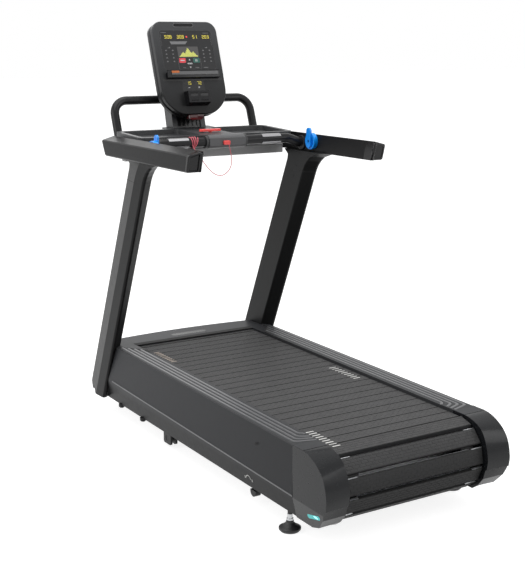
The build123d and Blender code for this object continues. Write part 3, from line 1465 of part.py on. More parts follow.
LIFT_SHAFT = 12.0
BRACKET_INNER_X = 306.0
BRACKET_THICK = 8.0
BRACKET_BOTTOM = 14.0
BRACKET_HALF = 30.0
with BuildPart() as one_lift_bracket:
    for plate_inner in (BRACKET_INNER_X, BRACKET_INNER_X + 22):
        with BuildSketch(Plane.YZ.offset(plate_inner)):
            with Locations((LIFT_PIVOT_Y, (TUBE_BOTTOM + BRACKET_BOTTOM) / 2)):
                RectangleRounded(2 * BRACKET_HALF, TUBE_BOTTOM - BRACKET_BOTTOM, 9)
            with Locations((LIFT_PIVOT_Y, LIFT_HEIGHT)):
                Circle(LIFT_SHAFT + SEAT, mode=Mode.SUBTRACT)
            with Locations((LIFT_PIVOT_Y - 18, LIFT_HEIGHT + 34)):
                SlotOverall(16, 7, mode=Mode.SUBTRACT)
        extrude(amount=BRACKET_THICK)
    with Locations((BRACKET_INNER_X + 15, LIFT_PIVOT_Y, TUBE_BOTTOM)):
        Box(30, 2 * BRACKET_HALF - 16, 6, align=(Align.CENTER, Align.CENTER, Align.MAX))
with BuildPart() as lift_brackets:
    both_sides(one_lift_bracket.part)

LIFT_ARM_WIDTH = 20.0
LIFT_ARM_DEPTH = 28.0
LIFT_WHEEL_X = 200.0
LIFT_WHEEL_WIDTH = 30.0
LIFT_AXLE = 8.0
LIFT_CROSS_Y = 672.0
LUG_INNER = 7.0
LUG_THICK = 8.0
LIFT_PIN = 5.0
lift_front_y = LIFT_WHEEL_Y + 26.0
shaft_half = BRACKET_INNER_X + 30.0 - 1.0
with BuildPart() as lift_frame:
    with BuildSketch(Plane.YZ.offset(-shaft_half)):
        with Locations((LIFT_PIVOT_Y, LIFT_HEIGHT)):
            Circle(LIFT_SHAFT)
    extrude(amount=2 * shaft_half)
    for side in (-1, 1):
        with BuildSketch(Plane.YZ.offset(side * LIFT_ARM_X - LIFT_ARM_WIDTH / 2)):
            with BuildLine():
                Polyline(
                    (LIFT_PIVOT_Y - 18, LIFT_HEIGHT - LIFT_ARM_DEPTH / 2),
                    (LIFT_PIVOT_Y - 18, LIFT_HEIGHT + LIFT_ARM_DEPTH / 2),
                    (lift_front_y, LIFT_HEIGHT + LIFT_ARM_DEPTH / 2),
                    (lift_front_y, LIFT_HEIGHT - LIFT_ARM_DEPTH / 2),
                    close=True,
                )
            make_face()
            with Locations((LIFT_WHEEL_Y, WHEEL_RADIUS)):
                Circle(LIFT_AXLE + SEAT, mode=Mode.SUBTRACT)
        extrude(amount=LIFT_ARM_WIDTH)
        with BuildSketch(Plane.YZ.offset(side * (LUG_INNER + LUG_THICK / 2) - LUG_THICK / 2)):
            with BuildLine():
                Polyline(
                    (LIFT_CROSS_Y, LIFT_HEIGHT - 14),
                    (LIFT_CROSS_Y, LIFT_HEIGHT + 14),
                    (LIFT_FRONT_Y + 12, LIFT_HEIGHT + 11),
                    (LIFT_FRONT_Y + 12, LIFT_HEIGHT - 11),
                    close=True,
                )
            make_face()
            with Locations((LIFT_WHEEL_Y, WHEEL_RADIUS)):
                Circle(LIFT_AXLE + SEAT, mode=Mode.SUBTRACT)
        extrude(amount=LUG_THICK)
    with Locations((0, LIFT_CROSS_Y, LIFT_HEIGHT)):
        Box(2 * LIFT_ARM_X, 24, LIFT_ARM_DEPTH)
    with BuildSketch(Plane.YZ.offset(-LUG_INNER - LUG_THICK)):
        with Locations((LIFT_FRONT_Y, LIFT_HEIGHT)):
            Circle(LIFT_PIN)
    extrude(amount=2 * (LUG_INNER + LUG_THICK))

with BuildPart() as lift_wheels:
    with BuildSketch(Plane.YZ.offset(-LIFT_ARM_X - LIFT_ARM_WIDTH / 2)):
        with Locations((LIFT_WHEEL_Y, WHEEL_RADIUS)):
            Circle(LIFT_AXLE)
    extrude(amount=2 * LIFT_ARM_X + LIFT_ARM_WIDTH)
    for side in (-1, 1):
        with BuildSketch(Plane.YZ.offset(side * LIFT_WHEEL_X - LIFT_WHEEL_WIDTH / 2)):
            with Locations((LIFT_WHEEL_Y, WHEEL_RADIUS)):
                Circle(WHEEL_RADIUS)
        extrude(amount=LIFT_WHEEL_WIDTH)
    fillet(lift_wheels.edges().filter_by(GeomType.CIRCLE).group_by(SortBy.RADIUS)[-1], 4)

BARREL_RADIUS = 17.0
BARREL_BOTTOM = 112.0
BARREL_TOP = 276.0
ROD_RADIUS = 8.0
ROD_TOP = 268.0
ROD_HEAD_HALF = 6.5
LIFT_SWING = 0.253             # radians that the lift frame swings down
reach = LIFT_FRONT_Y - LIFT_PIVOT_Y
pin_shift = reach * (1 - cos(LIFT_SWING))
with BuildPart() as lift_barrel:
    with Locations((0, LIFT_FRONT_Y, BARREL_BOTTOM)):
        Cylinder(
            BARREL_RADIUS, BARREL_TOP - BARREL_BOTTOM, align=(Align.CENTER, Align.CENTER, Align.MIN)
        )
    # lug that bolts to the front cross member
    with Locations((0, LIFT_FRONT_Y, BARREL_BOTTOM)):
        Box(
            34,
            FRONT_CROSS_Y - FRONT_CROSS_DEPTH / 2 - LIFT_FRONT_Y,
            FRONT_CROSS_HEIGHT + TUBE_BOTTOM - BARREL_BOTTOM,
            align=(Align.CENTER, Align.MIN, Align.MIN),
        )
    # gear motor lying across the top
    with BuildSketch(Plane.YZ.offset(0)):
        with Locations((LIFT_FRONT_Y, BARREL_TOP - 16)):
            Circle(BARREL_RADIUS - 2)
    extrude(amount=120)
    with Locations((0, LIFT_FRONT_Y, BARREL_BOTTOM)):
        Cylinder(
            ROD_RADIUS + SEAT,
            ROD_TOP + 2 - BARREL_BOTTOM,
            align=(Align.CENTER, Align.CENTER, Align.MIN),
            mode=Mode.SUBTRACT,
        )

with BuildPart() as lift_rod:
    with Locations((0, LIFT_FRONT_Y, LIFT_HEIGHT + 14)):
        Cylinder(
            ROD_RADIUS,
            ROD_TOP - LIFT_HEIGHT - 14,
            align=(Align.CENTER, Align.CENTER, Align.MIN),
        )
    # slotted eye that the lift frame's pin slides in
    with BuildSketch(Plane.YZ.offset(-ROD_HEAD_HALF)):
        with Locations((LIFT_FRONT_Y - pin_shift / 2, LIFT_HEIGHT + 2)):
            RectangleRounded(pin_shift + 4 * LIFT_PIN, 30, 6)
        with Locations((LIFT_FRONT_Y - pin_shift / 2, LIFT_HEIGHT)):
            SlotOverall(pin_shift + 2 * LIFT_PIN + 2, 2 * LIFT_PIN + 2, mode=Mode.SUBTRACT)
    extrude(amount=2 * ROD_HEAD_HALF)

# ------------------------------------------------------------------ safety lanyard
LANYARD_RADIUS = 1.4
lanyard_y = housing_face_y - KEY_STAND / 2
lanyard_points = [
    (1, lanyard_y, KEY_Z - KEY_HEIGHT / 2 - 0.2),
    (8, lanyard_y, 1128),
    (13, lanyard_y, 1098),
    (10, lanyard_y, 1068),
    (-7, lanyard_y, 1046),
    (-33, lanyard_y, 1034),
    (-62, lanyard_y, 1041),
    (-87, lanyard_y, 1062),
    (-108, lanyard_y, 1086),
    (-124, lanyard_y, 1110),
    (-139, lanyard_y + 1, 1130),
    (-149, lanyard_y + 5, 1144),
    (-153, lanyard_y + 11, 1157),
]


def bend_radii(points):
    """The largest arc that each corner of a cord's route allows."""
    radii = []
    for before, corner, after in zip(points, points[1:], points[2:]):
        run_in = Vector(*corner) - Vector(*before)
        run_out = Vector(*after) - Vector(*corner)
        shorter = min(run_in.length, run_out.length)
        radii.append(0.45 * shorter / tan(radians(run_in.get_angle(run_out)) / 2))
    return radii


lanyard_radii = bend_radii(lanyard_points)
print("lanyard bend radii", [round(radius, 1) for radius in lanyard_radii])
with BuildPart() as lanyard_cord:
    with BuildLine():
        lanyard_path = FilletPolyline(*lanyard_points, radius=lanyard_radii)
    with BuildSketch(Plane(origin=lanyard_path @ 0, z_dir=lanyard_path % 0)):
        Circle(LANYARD_RADIUS)
    sweep(path=lanyard_path)
print("lanyard free length", round(lanyard_path.length, 1))

# turns of the lanyard round the grip bar, fanned on top and gathered below
WRAP_X = -143.0
WRAP_TOP_HALF = 19.0
WRAP_LOW_HALF = 8.0
with BuildPart() as lanyard_wrap:
    with BuildSketch(Plane.YZ.offset(WRAP_X - WRAP_TOP_HALF)):
        with Locations((GRIP_Y, GRIP_Z)):
            Circle(GRIP_RADIUS + 2 * LANYARD_RADIUS + 2 * SEAT)
            Circle(GRIP_RADIUS + 2 * SEAT, mode=Mode.SUBTRACT)
    extrude(amount=2 * WRAP_TOP_HALF)
    with BuildSketch(Plane.XZ.offset(-GRIP_Y - 50)):
        with BuildLine():
            Polyline(
                (WRAP_X - WRAP_TOP_HALF, GRIP_Z + 24),
                (WRAP_X + WRAP_TOP_HALF, GRIP_Z + 24),
                (WRAP_X + WRAP_LOW_HALF, GRIP_Z - 24),
                (WRAP_X - WRAP_LOW_HALF, GRIP_Z - 24),
                close=True,
            )
        make_face()
    extrude(amount=100, mode=Mode.INTERSECT)

CLIP_LENGTH = 30.0
clip_top = GRIP_Z - GRIP_RADIUS - 2 * LANYARD_RADIUS - 0.2
with BuildPart() as lanyard_clip:
    with BuildSketch(Plane.YZ.offset(WRAP_X - 5)):
        with BuildLine():
            Polyline(
                (GRIP_Y - 3, clip_top),
                (GRIP_Y + 3, clip_top),
                (GRIP_Y + 5, clip_top - 12),
                (GRIP_Y + 2, clip_top - CLIP_LENGTH),
                (GRIP_Y - 2, clip_top - CLIP_LENGTH),
                (GRIP_Y - 5, clip_top - 12),
                close=True,
            )
        make_face()
    extrude(amount=10)

# ------------------------------------------------------------------------- export
pieces = {
    "slat_treads": slat_treads,
    "slat_carriers": slat_carriers,
    "belt_loops": belt_loops,
    "rear_axle": rear_axle,
    "front_axle": front_axle,
    "rear_pulleys": rear_pulleys,
    "front_pulleys": front_pulleys,
    "drive_motor": drive_motor,
    "motor_pulley": motor_pulley,
    "drive_belt": drive_belt,
    "base_frame": base_frame,
    "roller_plates": roller_plates,
    "support_rollers": support_rollers,
    "axle_bearings": axle_bearings,
    "motor_controller": motor_controller,
    "upright_right": upright_right,
    "upright_left": upright_left,
    "transport_wheel_right": transport_wheel_right,
    "transport_wheel_left": transport_wheel_left,
    "side_cover_right": side_cover_right,
    "side_cover_left": side_cover_left,
    "foot_rail_right": foot_rail_right,
    "foot_rail_left": foot_rail_left,
    "rear_cap_right": rear_cap_right,
    "rear_cap_left": rear_cap_left,
    "status_lights": status_lights,
    "front_cover": front_cover,
    "arm_right": arm_right,
    "arm_left": arm_left,
    "arm_end_caps": arm_end_caps,
    "cross_beam": cross_beam,
    "console_tray": console_tray,
    "stop_bar": stop_bar,
    "grip_bar": grip_bar,
    "grip_mounts": grip_mounts,
    "pulse_sensors": pulse_sensors,
    "grip_housing": grip_housing,
    "safety_key": safety_key,
    "paddle_right": paddle_right,
    "paddle_left": paddle_left,
    "accessory_hoop": accessory_hoop,
    "console_neck": console_neck,
    "console_back": console_back,
    "console_bezel": console_bezel,
    "display_windows": display_windows,
    "reading_rack": reading_rack,
    "rocker_block": rocker_block,
    "rocker_left": rocker_left,
    "rocker_right": rocker_right,
    "rear_foot_right": rear_foot_right,
    "rear_foot_left": rear_foot_left,
    "frame_bumpers": frame_bumpers,
    "lift_brackets": lift_brackets,
    "lift_frame": lift_frame,
    "lift_wheels": lift_wheels,
    "lift_barrel": lift_barrel,
    "lift_rod": lift_rod,
    "lanyard_cord": lanyard_cord,
    "lanyard_wrap": lanyard_wrap,
    "lanyard_clip": lanyard_clip,
}
os.makedirs("parts", exist_ok=True)
for node, piece in pieces.items():
    piece.part.label = node
    export_step(piece.part, f"parts/{node}.step")
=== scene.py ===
import math

import bmesh
import bpy
from mathutils import Matrix, Vector


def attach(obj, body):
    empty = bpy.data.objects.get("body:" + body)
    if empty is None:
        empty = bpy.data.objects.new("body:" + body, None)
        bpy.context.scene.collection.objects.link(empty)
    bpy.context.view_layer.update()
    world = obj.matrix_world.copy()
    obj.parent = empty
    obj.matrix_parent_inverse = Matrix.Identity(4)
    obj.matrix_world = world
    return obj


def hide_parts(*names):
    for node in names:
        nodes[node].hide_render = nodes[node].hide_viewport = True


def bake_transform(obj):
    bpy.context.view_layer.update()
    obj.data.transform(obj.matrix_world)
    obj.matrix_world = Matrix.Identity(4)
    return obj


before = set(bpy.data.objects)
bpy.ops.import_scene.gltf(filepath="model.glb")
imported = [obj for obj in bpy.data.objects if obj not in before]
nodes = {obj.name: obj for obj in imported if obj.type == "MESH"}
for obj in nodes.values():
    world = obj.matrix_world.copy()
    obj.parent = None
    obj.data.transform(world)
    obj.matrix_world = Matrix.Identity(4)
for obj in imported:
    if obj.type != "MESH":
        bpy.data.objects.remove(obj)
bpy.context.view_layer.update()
scene = bpy.context.scene
SIDES = ((1, "right"), (-1, "left"))
SINK = 0.0001                  # how far a printed or raised piece is let into its ground


def place_object(name, data):
    """A new object that holds some data, linked into the scene."""
    made = bpy.data.objects.new(name, data)
    scene.collection.objects.link(made)
    return made


def look_along(place, direction):
    """The transform of a camera or a lamp that stands at a place and looks along a direction."""
    turn = Vector(direction).normalized().to_track_quat("-Z", "Y").to_matrix().to_4x4()
    return Matrix.Translation(place) @ turn


# ---------------- camera
CAMERA_PLACE = (-2.1996, -3.516, 1.56)
CAMERA_DIRECTION = (0.5094, 0.8345, -0.2103)
SENSOR_HEIGHT = 36.0           # in millimetres, as is the focal length
FOCAL_LENGTH = 72.2


def set_up_camera():
    """The camera stands to the rear left of the machine, a little above the handlebar."""
    lens = bpy.data.cameras.new("studio_camera")
    lens.sensor_fit = "VERTICAL"
    lens.sensor_height = SENSOR_HEIGHT
    lens.lens = FOCAL_LENGTH
    lens.clip_end = 200.0
    scene.camera = place_object("studio_camera", lens)
    scene.camera.matrix_world = look_along(CAMERA_PLACE, CAMERA_DIRECTION)


set_up_camera()


# ---------------- mesh helpers
def mesh_of(name, build):
    """The mesh that a bmesh has built up."""
    mesh = bpy.data.meshes.new(name)
    build.to_mesh(mesh)
    build.free()
    return mesh


def box_outline(left, low, right, high):
    """The four corners of a rectangle."""
    return [(left, low), (right, low), (right, high), (left, high)]


def round_outline(left, low, right, high, radius, steps=5):
    """A rectangle with round corners."""
    outline = []
    for x, y, start in (
        (right - radius, low + radius, -90), (right - radius, high - radius, 0),
        (left + radius, high - radius, 90), (left + radius, low + radius, 180),
    ):
        for k in range(steps + 1):
            angle = math.radians(start + 90 * k / steps)
            outline.append((x + radius * math.cos(angle), y + radius * math.sin(angle)))
    return outline


def rounded_loop(corners, radius, grow_by=0.0, steps=4):
    """A closed outline with round corners, grown outwards a little."""
    loop = []
    for i, corner in enumerate(corners):
        here = Vector(corner)
        back = (Vector(corners[i - 1]) - here).normalized()
        ahead = (Vector(corners[(i + 1) % len(corners)]) - here).normalized()
        half = back.angle(ahead) / 2
        centre = here + (back + ahead).normalized() * (radius / math.sin(half))
        first, last = [(here + way * (radius / math.tan(half)) - centre).normalized()
                       for way in (back, ahead)]
        for k in range(steps + 1):
            direction = first.lerp(last, k / steps).normalized()
            loop.append(tuple(centre + direction * (radius + grow_by)))
    return loop


def prism(outline, start, end):
    """The two ends of a prism: an outline of points, moved by two offsets."""
    return [[Vector(point) + Vector(offset) for point in outline] for offset in (start, end)]


def upright_prism(outline, low, high):
    """The two ends of an upright prism: an outline in X and Y between two heights."""
    return [[Vector((x, y, z)) for x, y in outline] for z in (low, high)]


def box(low, high):
    """The two ends of a box between two corners."""
    return upright_prism(box_outline(*low[:2], *high[:2]), low[2], high[2])


def ring_points(centre, across, up, count):
    """Points round an ellipse whose half axes are the vectors across and up."""
    turns = [2 * math.pi * k / count for k in range(count)]
    return [Vector(centre) + math.cos(turn) * across + math.sin(turn) * up for turn in turns]


def disc(centre, normal, radius, thick, sides=18):
    """The two ends of a round disc that stands on a surface."""
    normal = Vector(normal).normalized()
    across = normal.orthogonal().normalized()
    ring = ring_points(centre, radius * across, radius * normal.cross(across), sides)
    return prism(ring, normal * -2 * SINK, normal * thick)


def add_band(build, first, second):
    """A closed band of faces between two rings of vertices."""
    for k in range(len(first)):
        j = (k + 1) % len(first)
        build.faces.new((first[k], first[j], second[j], second[k]))


def piece_of(name, solids):
    """A piece at the origin made of closed solids, each given by its two ends."""
    build = bmesh.new()
    for ends in solids:
        first, second = [[build.verts.new(point) for point in end] for end in ends]
        build.faces.new(first)
        build.faces.new(second[::-1])
        add_band(build, first, second)
    bmesh.ops.remove_doubles(build, verts=build.verts, dist=1e-6)
    bmesh.ops.recalc_face_normals(build, faces=build.faces)
    return place_object(name, mesh_of(name, build))


def evaluated_mesh(thing):
    """The mesh that an object has once its modifiers or its curve are worked out."""
    bpy.context.view_layer.update()
    graph = bpy.context.evaluated_depsgraph_get()
    return bpy.data.meshes.new_from_object(thing.evaluated_get(graph))


def baked(name, source):
    """The worked-out shape of an object as a plain mesh object; the source is removed."""
    mesh = evaluated_mesh(source)
    bpy.data.objects.remove(source)
    mesh.name = name
    return place_object(name, mesh)


def bevelled(name, piece, width):
    """A copy of a piece with its edges rounded, as a plain mesh."""
    rounding = piece.modifiers.new("rounding", "BEVEL")
    rounding.width = width
    rounding.segments = 2
    rounding.limit_method = "ANGLE"
    rounding.angle_limit = math.radians(40)
    done = baked(name, piece)
    for face in done.data.polygons:
        face.use_smooth = True
    done.data.set_sharp_from_angle(angle=math.radians(35))
    return done


finish = {}                    # every material of the scene, by its name


def dress(piece, paint, body="machine"):
    """Give a finished piece its material and the body it moves with."""
    piece.data.materials.clear()
    piece.data.materials.append(finish[paint])
    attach(piece, body)


def solid_piece(name, solids, paint, body="machine"):
    """A dressed piece made of closed solids."""
    dress(piece_of(name, solids), paint, body)


def both_sides(solids):
    """Solids of the machine's right side with their mirror images on its left."""
    return [[[(side * point[0], *point[1:]) for point in end] for end in ends]
            for ends in solids for side in (1, -1)]


# ---------------- the lanyard
LANYARD_THICK = 0.0028
LANYARD_ROUTE = [
    (0.001, 0.3405, 1.1543), (0.008, 0.3405, 1.128), (0.013, 0.3405, 1.098),
    (0.01, 0.3405, 1.068), (-0.007, 0.3405, 1.046), (-0.033, 0.3405, 1.034),
    (-0.062, 0.3405, 1.041), (-0.087, 0.3405, 1.062), (-0.108, 0.3405, 1.086),
    (-0.124, 0.3405, 1.11), (-0.139, 0.3415, 1.13), (-0.149, 0.3455, 1.144),
    (-0.153, 0.3515, 1.157),
]
GRIP_BAR = (0.373, 1.167)      # Y and Z of the bar's middle
GRIP_BAR_RADIUS = 0.019
WRAP_RADIUS = GRIP_BAR_RADIUS + LANYARD_THICK / 2 + 0.0002
WRAP_TURNS = 3
WRAP_TOP = (-0.1585, 0.0315)   # where the turns start on the bar's top, and how far they spread
WRAP_UNDERSIDE = (-0.1475, 0.0085)
WRAP_START = math.radians(205)
POINTS_PER_TURN = 16
EXTRA_POINTS = 4               # they carry the last turn round to the back of the bar


def wrap_points():
    """Turns round the grip bar, spread on its top and gathered at its underside."""
    bar_y, bar_z = GRIP_BAR
    # the control points stand off so that the curve between them clears the bar
    radius = (WRAP_RADIUS + 0.0002) / math.cos(math.pi / POINTS_PER_TURN) ** 2
    points = []
    for step in range(1, WRAP_TURNS * POINTS_PER_TURN + EXTRA_POINTS + 1):
        turn = step / POINTS_PER_TURN
        angle = WRAP_START - turn * 2 * math.pi
        top_x, low_x = [start + spread * turn / WRAP_TURNS for start, spread in (WRAP_TOP, WRAP_UNDERSIDE)]
        x = low_x + (top_x - low_x) * (0.5 + 0.5 * math.sin(angle))
        points.append((x, bar_y + radius * math.cos(angle), bar_z + radius * math.sin(angle)))
    return points


def centreline(points):
    """Places read along a smooth curve that follows control points."""
    curve = bpy.data.curves.new("route", "CURVE")
    curve.dimensions = "3D"
    curve.resolution_u = 6
    spline = curve.splines.new("NURBS")
    spline.points.add(len(points) - 1)
    for point, place in zip(spline.points, points):
        point.co = (*place, 1.0)
    spline.order_u = 3
    spline.use_endpoint_u = True
    line = place_object("route", curve)
    mesh = evaluated_mesh(line)
    places = [vertex.co.copy() for vertex in mesh.vertices]
    bpy.data.meshes.remove(mesh)
    bpy.data.objects.remove(line)
    return places


def sweep_round(name, places, radius, sides=10):
    """A closed round tube along places, with a UV map that runs along and around it."""
    build = bmesh.new()
    uv = build.loops.layers.uv.new("along")
    travel = [0.0]
    for a, b in zip(places, places[1:]):
        travel.append(travel[-1] + (b - a).length)
    rings = []
    side = None
    for i, place in enumerate(places):
        ahead = (places[min(i + 1, len(places) - 1)] - places[max(i - 1, 0)]).normalized()
        if side is None:
            side = ahead.orthogonal().normalized()
        side = (side - ahead * side.dot(ahead)).normalized()
        ring = ring_points(place, radius * side, radius * ahead.cross(side), sides)
        rings.append([build.verts.new(point) for point in ring])
    for i in range(len(rings) - 1):
        for k in range(sides):
            j = (k + 1) % sides
            face = build.faces.new((rings[i][k], rings[i][j], rings[i + 1][j], rings[i + 1][k]))
            for loop, (u, v) in zip(face.loops, ((i, k), (i, k + 1), (i + 1, k + 1), (i + 1, k))):
                loop[uv].uv = (travel[u], v / sides)
    build.faces.new(rings[0][::-1])
    build.faces.new(rings[-1])
    bmesh.ops.recalc_face_normals(build, faces=build.faces)
    mesh = mesh_of(name, build)
    for face in mesh.polygons:
        face.use_smooth = True
    return place_object(name, mesh)


lanyard_line = centreline(LANYARD_ROUTE + wrap_points())
lanyard = sweep_round("lanyard", lanyard_line, LANYARD_THICK / 2)


# ---------------- node helpers
def open_group(kind, name, inputs, outputs):
    """A node group with named sockets, its input node and its output node."""
    tree = bpy.data.node_groups.new(name, kind)
    for label, (socket_kind, *default) in inputs.items():
        socket = tree.interface.new_socket(
            name=label, in_out="INPUT", socket_type="NodeSocket" + socket_kind)
        if default:
            socket.default_value = default[0]
    for label, socket_kind in outputs.items():
        tree.interface.new_socket(name=label, in_out="OUTPUT", socket_type="NodeSocket" + socket_kind)
    return tree, tree.nodes.new("NodeGroupInput"), tree.nodes.new("NodeGroupOutput")


def feed(tree, node, inputs):
    """Give a node's inputs plain values, or link them to other sockets."""
    for label, value in inputs.items():
        if isinstance(value, bpy.types.NodeSocket):
            tree.links.new(value, node.inputs[label])
        else:
            node.inputs[label].default_value = value


def add_node(tree, kind, inputs=None, **settings):
    """A new node with its settings made and its inputs fed."""
    node = tree.nodes.new(kind)
    for setting, value in settings.items():
        setattr(node, setting, value)
    feed(tree, node, inputs or {})
    return node


def math_node(tree, operation, *values, clamp=False):
    """The result of one sum on sockets or plain numbers."""
    inputs = dict(enumerate(values))
    return add_node(tree, "ShaderNodeMath", inputs, operation=operation, use_clamp=clamp).outputs[0]


def span_node(tree, value, low, high, to_low, to_high):
    """A value remapped from one span to another and held inside it."""
    inputs = {"Value": value, "From Min": low, "From Max": high, "To Min": to_low, "To Max": to_high}
    return add_node(tree, "ShaderNodeMapRange", inputs).outputs["Result"]


def noise_node(tree, place, scale, detail=3.0):
    """Noise on a place socket, at a plain or linked scale."""
    inputs = {"Vector": place, "Scale": scale, "Detail": detail}
    return add_node(tree, "ShaderNodeTexNoise", inputs).outputs["Fac"]


def mix_color(tree, share, first, second):
    """Two colours mixed by a share, each a socket or a plain value."""
    # a colour mix has its two colours on sockets 6 and 7 and its result on output 2
    inputs = {0: share, 6: first, 7: second}
    return add_node(tree, "ShaderNodeMix", inputs, data_type="RGBA").outputs[2]


def scaled(tree, color, level):
    """A colour made lighter or darker by a level."""
    inputs = {0: color, "Scale": level}
    return add_node(tree, "ShaderNodeVectorMath", inputs, operation="SCALE").outputs[0]


def split_node(tree, place):
    """The X, Y and Z of a place or a direction."""
    return add_node(tree, "ShaderNodeSeparateXYZ", {0: place}).outputs


def object_place(tree):
    """The place on the object, in its own metres."""
    return add_node(tree, "ShaderNodeTexCoord").outputs["Object"]


def relief_node(tree, height, strength, depth):
    """The normal of a surface with a fine relief."""
    inputs = {"Height": height, "Strength": strength, "Distance": depth}
    return add_node(tree, "ShaderNodeBump", inputs).outputs["Normal"]


SURFACE_OUTPUTS = {"Color": "Color", "Roughness": "Float", "Grain": "Float"}
DUST_COLOR = (0.3, 0.29, 0.28, 1)


def build_handled_surface():
    """Mottled colour, rubbed edges, uneven gloss and a fine grain, for moulded or painted pieces."""
    tree, source, sink = open_group("ShaderNodeTree", "handled_surface", {
        "Color": ("Color", (0.1, 0.1, 0.1, 1)),
        "Rubbed Color": ("Color", (0.2, 0.2, 0.2, 1)),
        "Edge Width": ("Float", 0.0012),
        "Rubbing": ("Float", 0.5),
        "Mottle": ("Float", 0.08),
        "Dust": ("Float", 0.0),
        "Roughness": ("Float", 0.4),
        "Roughness Spread": ("Float", 0.1),
        "Grain Scale": ("Float", 900.0),
    }, SURFACE_OUTPUTS)
    wanted = source.outputs
    place = object_place(tree)
    broad = noise_node(tree, place, 5.0)
    patchy = noise_node(tree, place, 60.0, 4.0)
    grain = noise_node(tree, place, wanted["Grain Scale"], 2.0)

    def swing(noise, amount):
        """Noise as a swing to either side of nothing."""
        return math_node(tree, "MULTIPLY", math_node(tree, "SUBTRACT", noise, 0.5), amount)

    # edges rubbed by hands and shoes, broken up by the patchy noise
    rounding = add_node(tree, "ShaderNodeBevel", {"Radius": wanted["Edge Width"]}, samples=4)
    normal = add_node(tree, "ShaderNodeNewGeometry").outputs["Normal"]
    meeting = add_node(tree, "ShaderNodeVectorMath", {0: rounding.outputs["Normal"], 1: normal},
                       operation="DOT_PRODUCT")
    edge = span_node(tree, meeting.outputs["Value"], 0.99, 0.8, 0.0, 1.0)
    worn = math_node(tree, "MULTIPLY", edge, span_node(tree, patchy, 0.35, 0.6, 0.35, 1.0))
    worn = math_node(tree, "MULTIPLY", worn, wanted["Rubbing"], clamp=True)
    # broad and small patches, lighter and darker
    patches = math_node(tree, "ADD", swing(broad, wanted["Mottle"]), swing(patchy, wanted["Mottle"]))
    color = scaled(tree, wanted["Color"], math_node(tree, "ADD", patches, 1.0))
    color = mix_color(tree, worn, color, wanted["Rubbed Color"])
    # dust on what faces up
    upward = span_node(tree, split_node(tree, normal)["Z"], 0.3, 0.95, 0.0, 1.0)
    dust = math_node(tree, "MULTIPLY", upward, span_node(tree, patchy, 0.3, 0.7, 0.2, 1.0))
    dust = math_node(tree, "MULTIPLY", dust, wanted["Dust"], clamp=True)
    rough = math_node(tree, "ADD", wanted["Roughness"], swing(patchy, wanted["Roughness Spread"]))
    rough = math_node(tree, "ADD", rough, math_node(tree, "MULTIPLY", dust, 0.3), clamp=True)
    color = mix_color(tree, dust, color, DUST_COLOR)
    feed(tree, sink, {"Color": color, "Roughness": rough, "Grain": grain})
    return tree


def build_brushed_metal():
    """Fine scratches drawn along one axis, with a little tarnish."""
    tree, source, sink = open_group("ShaderNodeTree", "brushed_metal", {
        "Color": ("Color", (0.6, 0.6, 0.6, 1)),
        "Along": ("Vector", (0.02, 1.0, 1.0)),
        "Tarnish": ("Float", 0.15),
        "Roughness": ("Float", 0.3),
    }, SURFACE_OUTPUTS)
    wanted = source.outputs
    place = object_place(tree)
    stretched = add_node(tree, "ShaderNodeVectorMath", {0: place, 1: wanted["Along"]}, operation="MULTIPLY")
    scratch = noise_node(tree, stretched.outputs[0], 1400.0, 2.0)
    cloud = noise_node(tree, place, 35.0, 4.0)
    level = math_node(tree, "SUBTRACT", 1.0, math_node(tree, "MULTIPLY", cloud, wanted["Tarnish"]))
    streaks = math_node(tree, "MULTIPLY", math_node(tree, "SUBTRACT", scratch, 0.5), 0.1)
    rough = math_node(tree, "ADD", wanted["Roughness"], math_node(tree, "MULTIPLY", scratch, 0.18))
    rough = math_node(tree, "ADD", rough, math_node(tree, "MULTIPLY", cloud, 0.1))
    color = scaled(tree, wanted["Color"], math_node(tree, "ADD", level, streaks))
    feed(tree, sink, {"Color": color, "Roughness": rough, "Grain": scratch})
    return tree


handled_surface = build_handled_surface()
brushed_metal = build_brushed_metal()


def open_material(name):
    """The tree and the Principled shader of a new node material."""
    finish[name] = bpy.data.materials.new(name)
    finish[name].use_nodes = True
    tree = finish[name].node_tree
    return tree, next(n for n in tree.nodes if n.type == "BSDF_PRINCIPLED")


def opaque(color):
    """A colour with full alpha, from a grey level or from red, green and blue."""
    return (*(color if isinstance(color, tuple) else (color, color, color)), 1)


def moulded(name, color, rubbed, rough, rubbing=0.5, mottle=0.1, dust=0.0, grain=900.0,
            bump=0.15, edge=0.0012, coat=0.0, specular=0.5, painted_shading=()):
    """A painted, moulded or rubber finish, which may carry painted light and shade that changes between two
    places along an axis.
    """
    tree, shader = open_material(name)
    surface = add_node(tree, "ShaderNodeGroup", {
        "Color": opaque(color), "Rubbed Color": opaque(rubbed), "Edge Width": edge, "Rubbing": rubbing,
        "Mottle": mottle, "Dust": dust, "Roughness": rough, "Grain Scale": grain,
    }, node_tree=handled_surface).outputs
    shown = surface["Color"]
    # painted light and shade: the colour is made lighter or darker between two places along an axis
    for axis, start, end, start_level, end_level in painted_shading:
        along = split_node(tree, object_place(tree))[axis]
        shown = scaled(tree, shown, span_node(tree, along, start, end, start_level, end_level))
    feed(tree, shader, {
        "Base Color": shown, "Roughness": surface["Roughness"],
        "Normal": relief_node(tree, surface["Grain"], bump, 0.0002),
        "Coat Weight": coat, "Coat Roughness": 0.08, "Specular IOR Level": specular,
    })


def metal(name, color, rough, along=(0.02, 1.0, 1.0), tarnish=0.15):
    """A bare or plated metal finish."""
    tree, shader = open_material(name)
    surface = add_node(tree, "ShaderNodeGroup", {
        "Color": opaque(color), "Along": along, "Tarnish": tarnish, "Roughness": rough,
    }, node_tree=brushed_metal).outputs
    feed(tree, shader, {
        "Base Color": surface["Color"], "Roughness": surface["Roughness"], "Metallic": 1.0,
        "Normal": relief_node(tree, surface["Grain"], 0.12, 0.0001),
    })


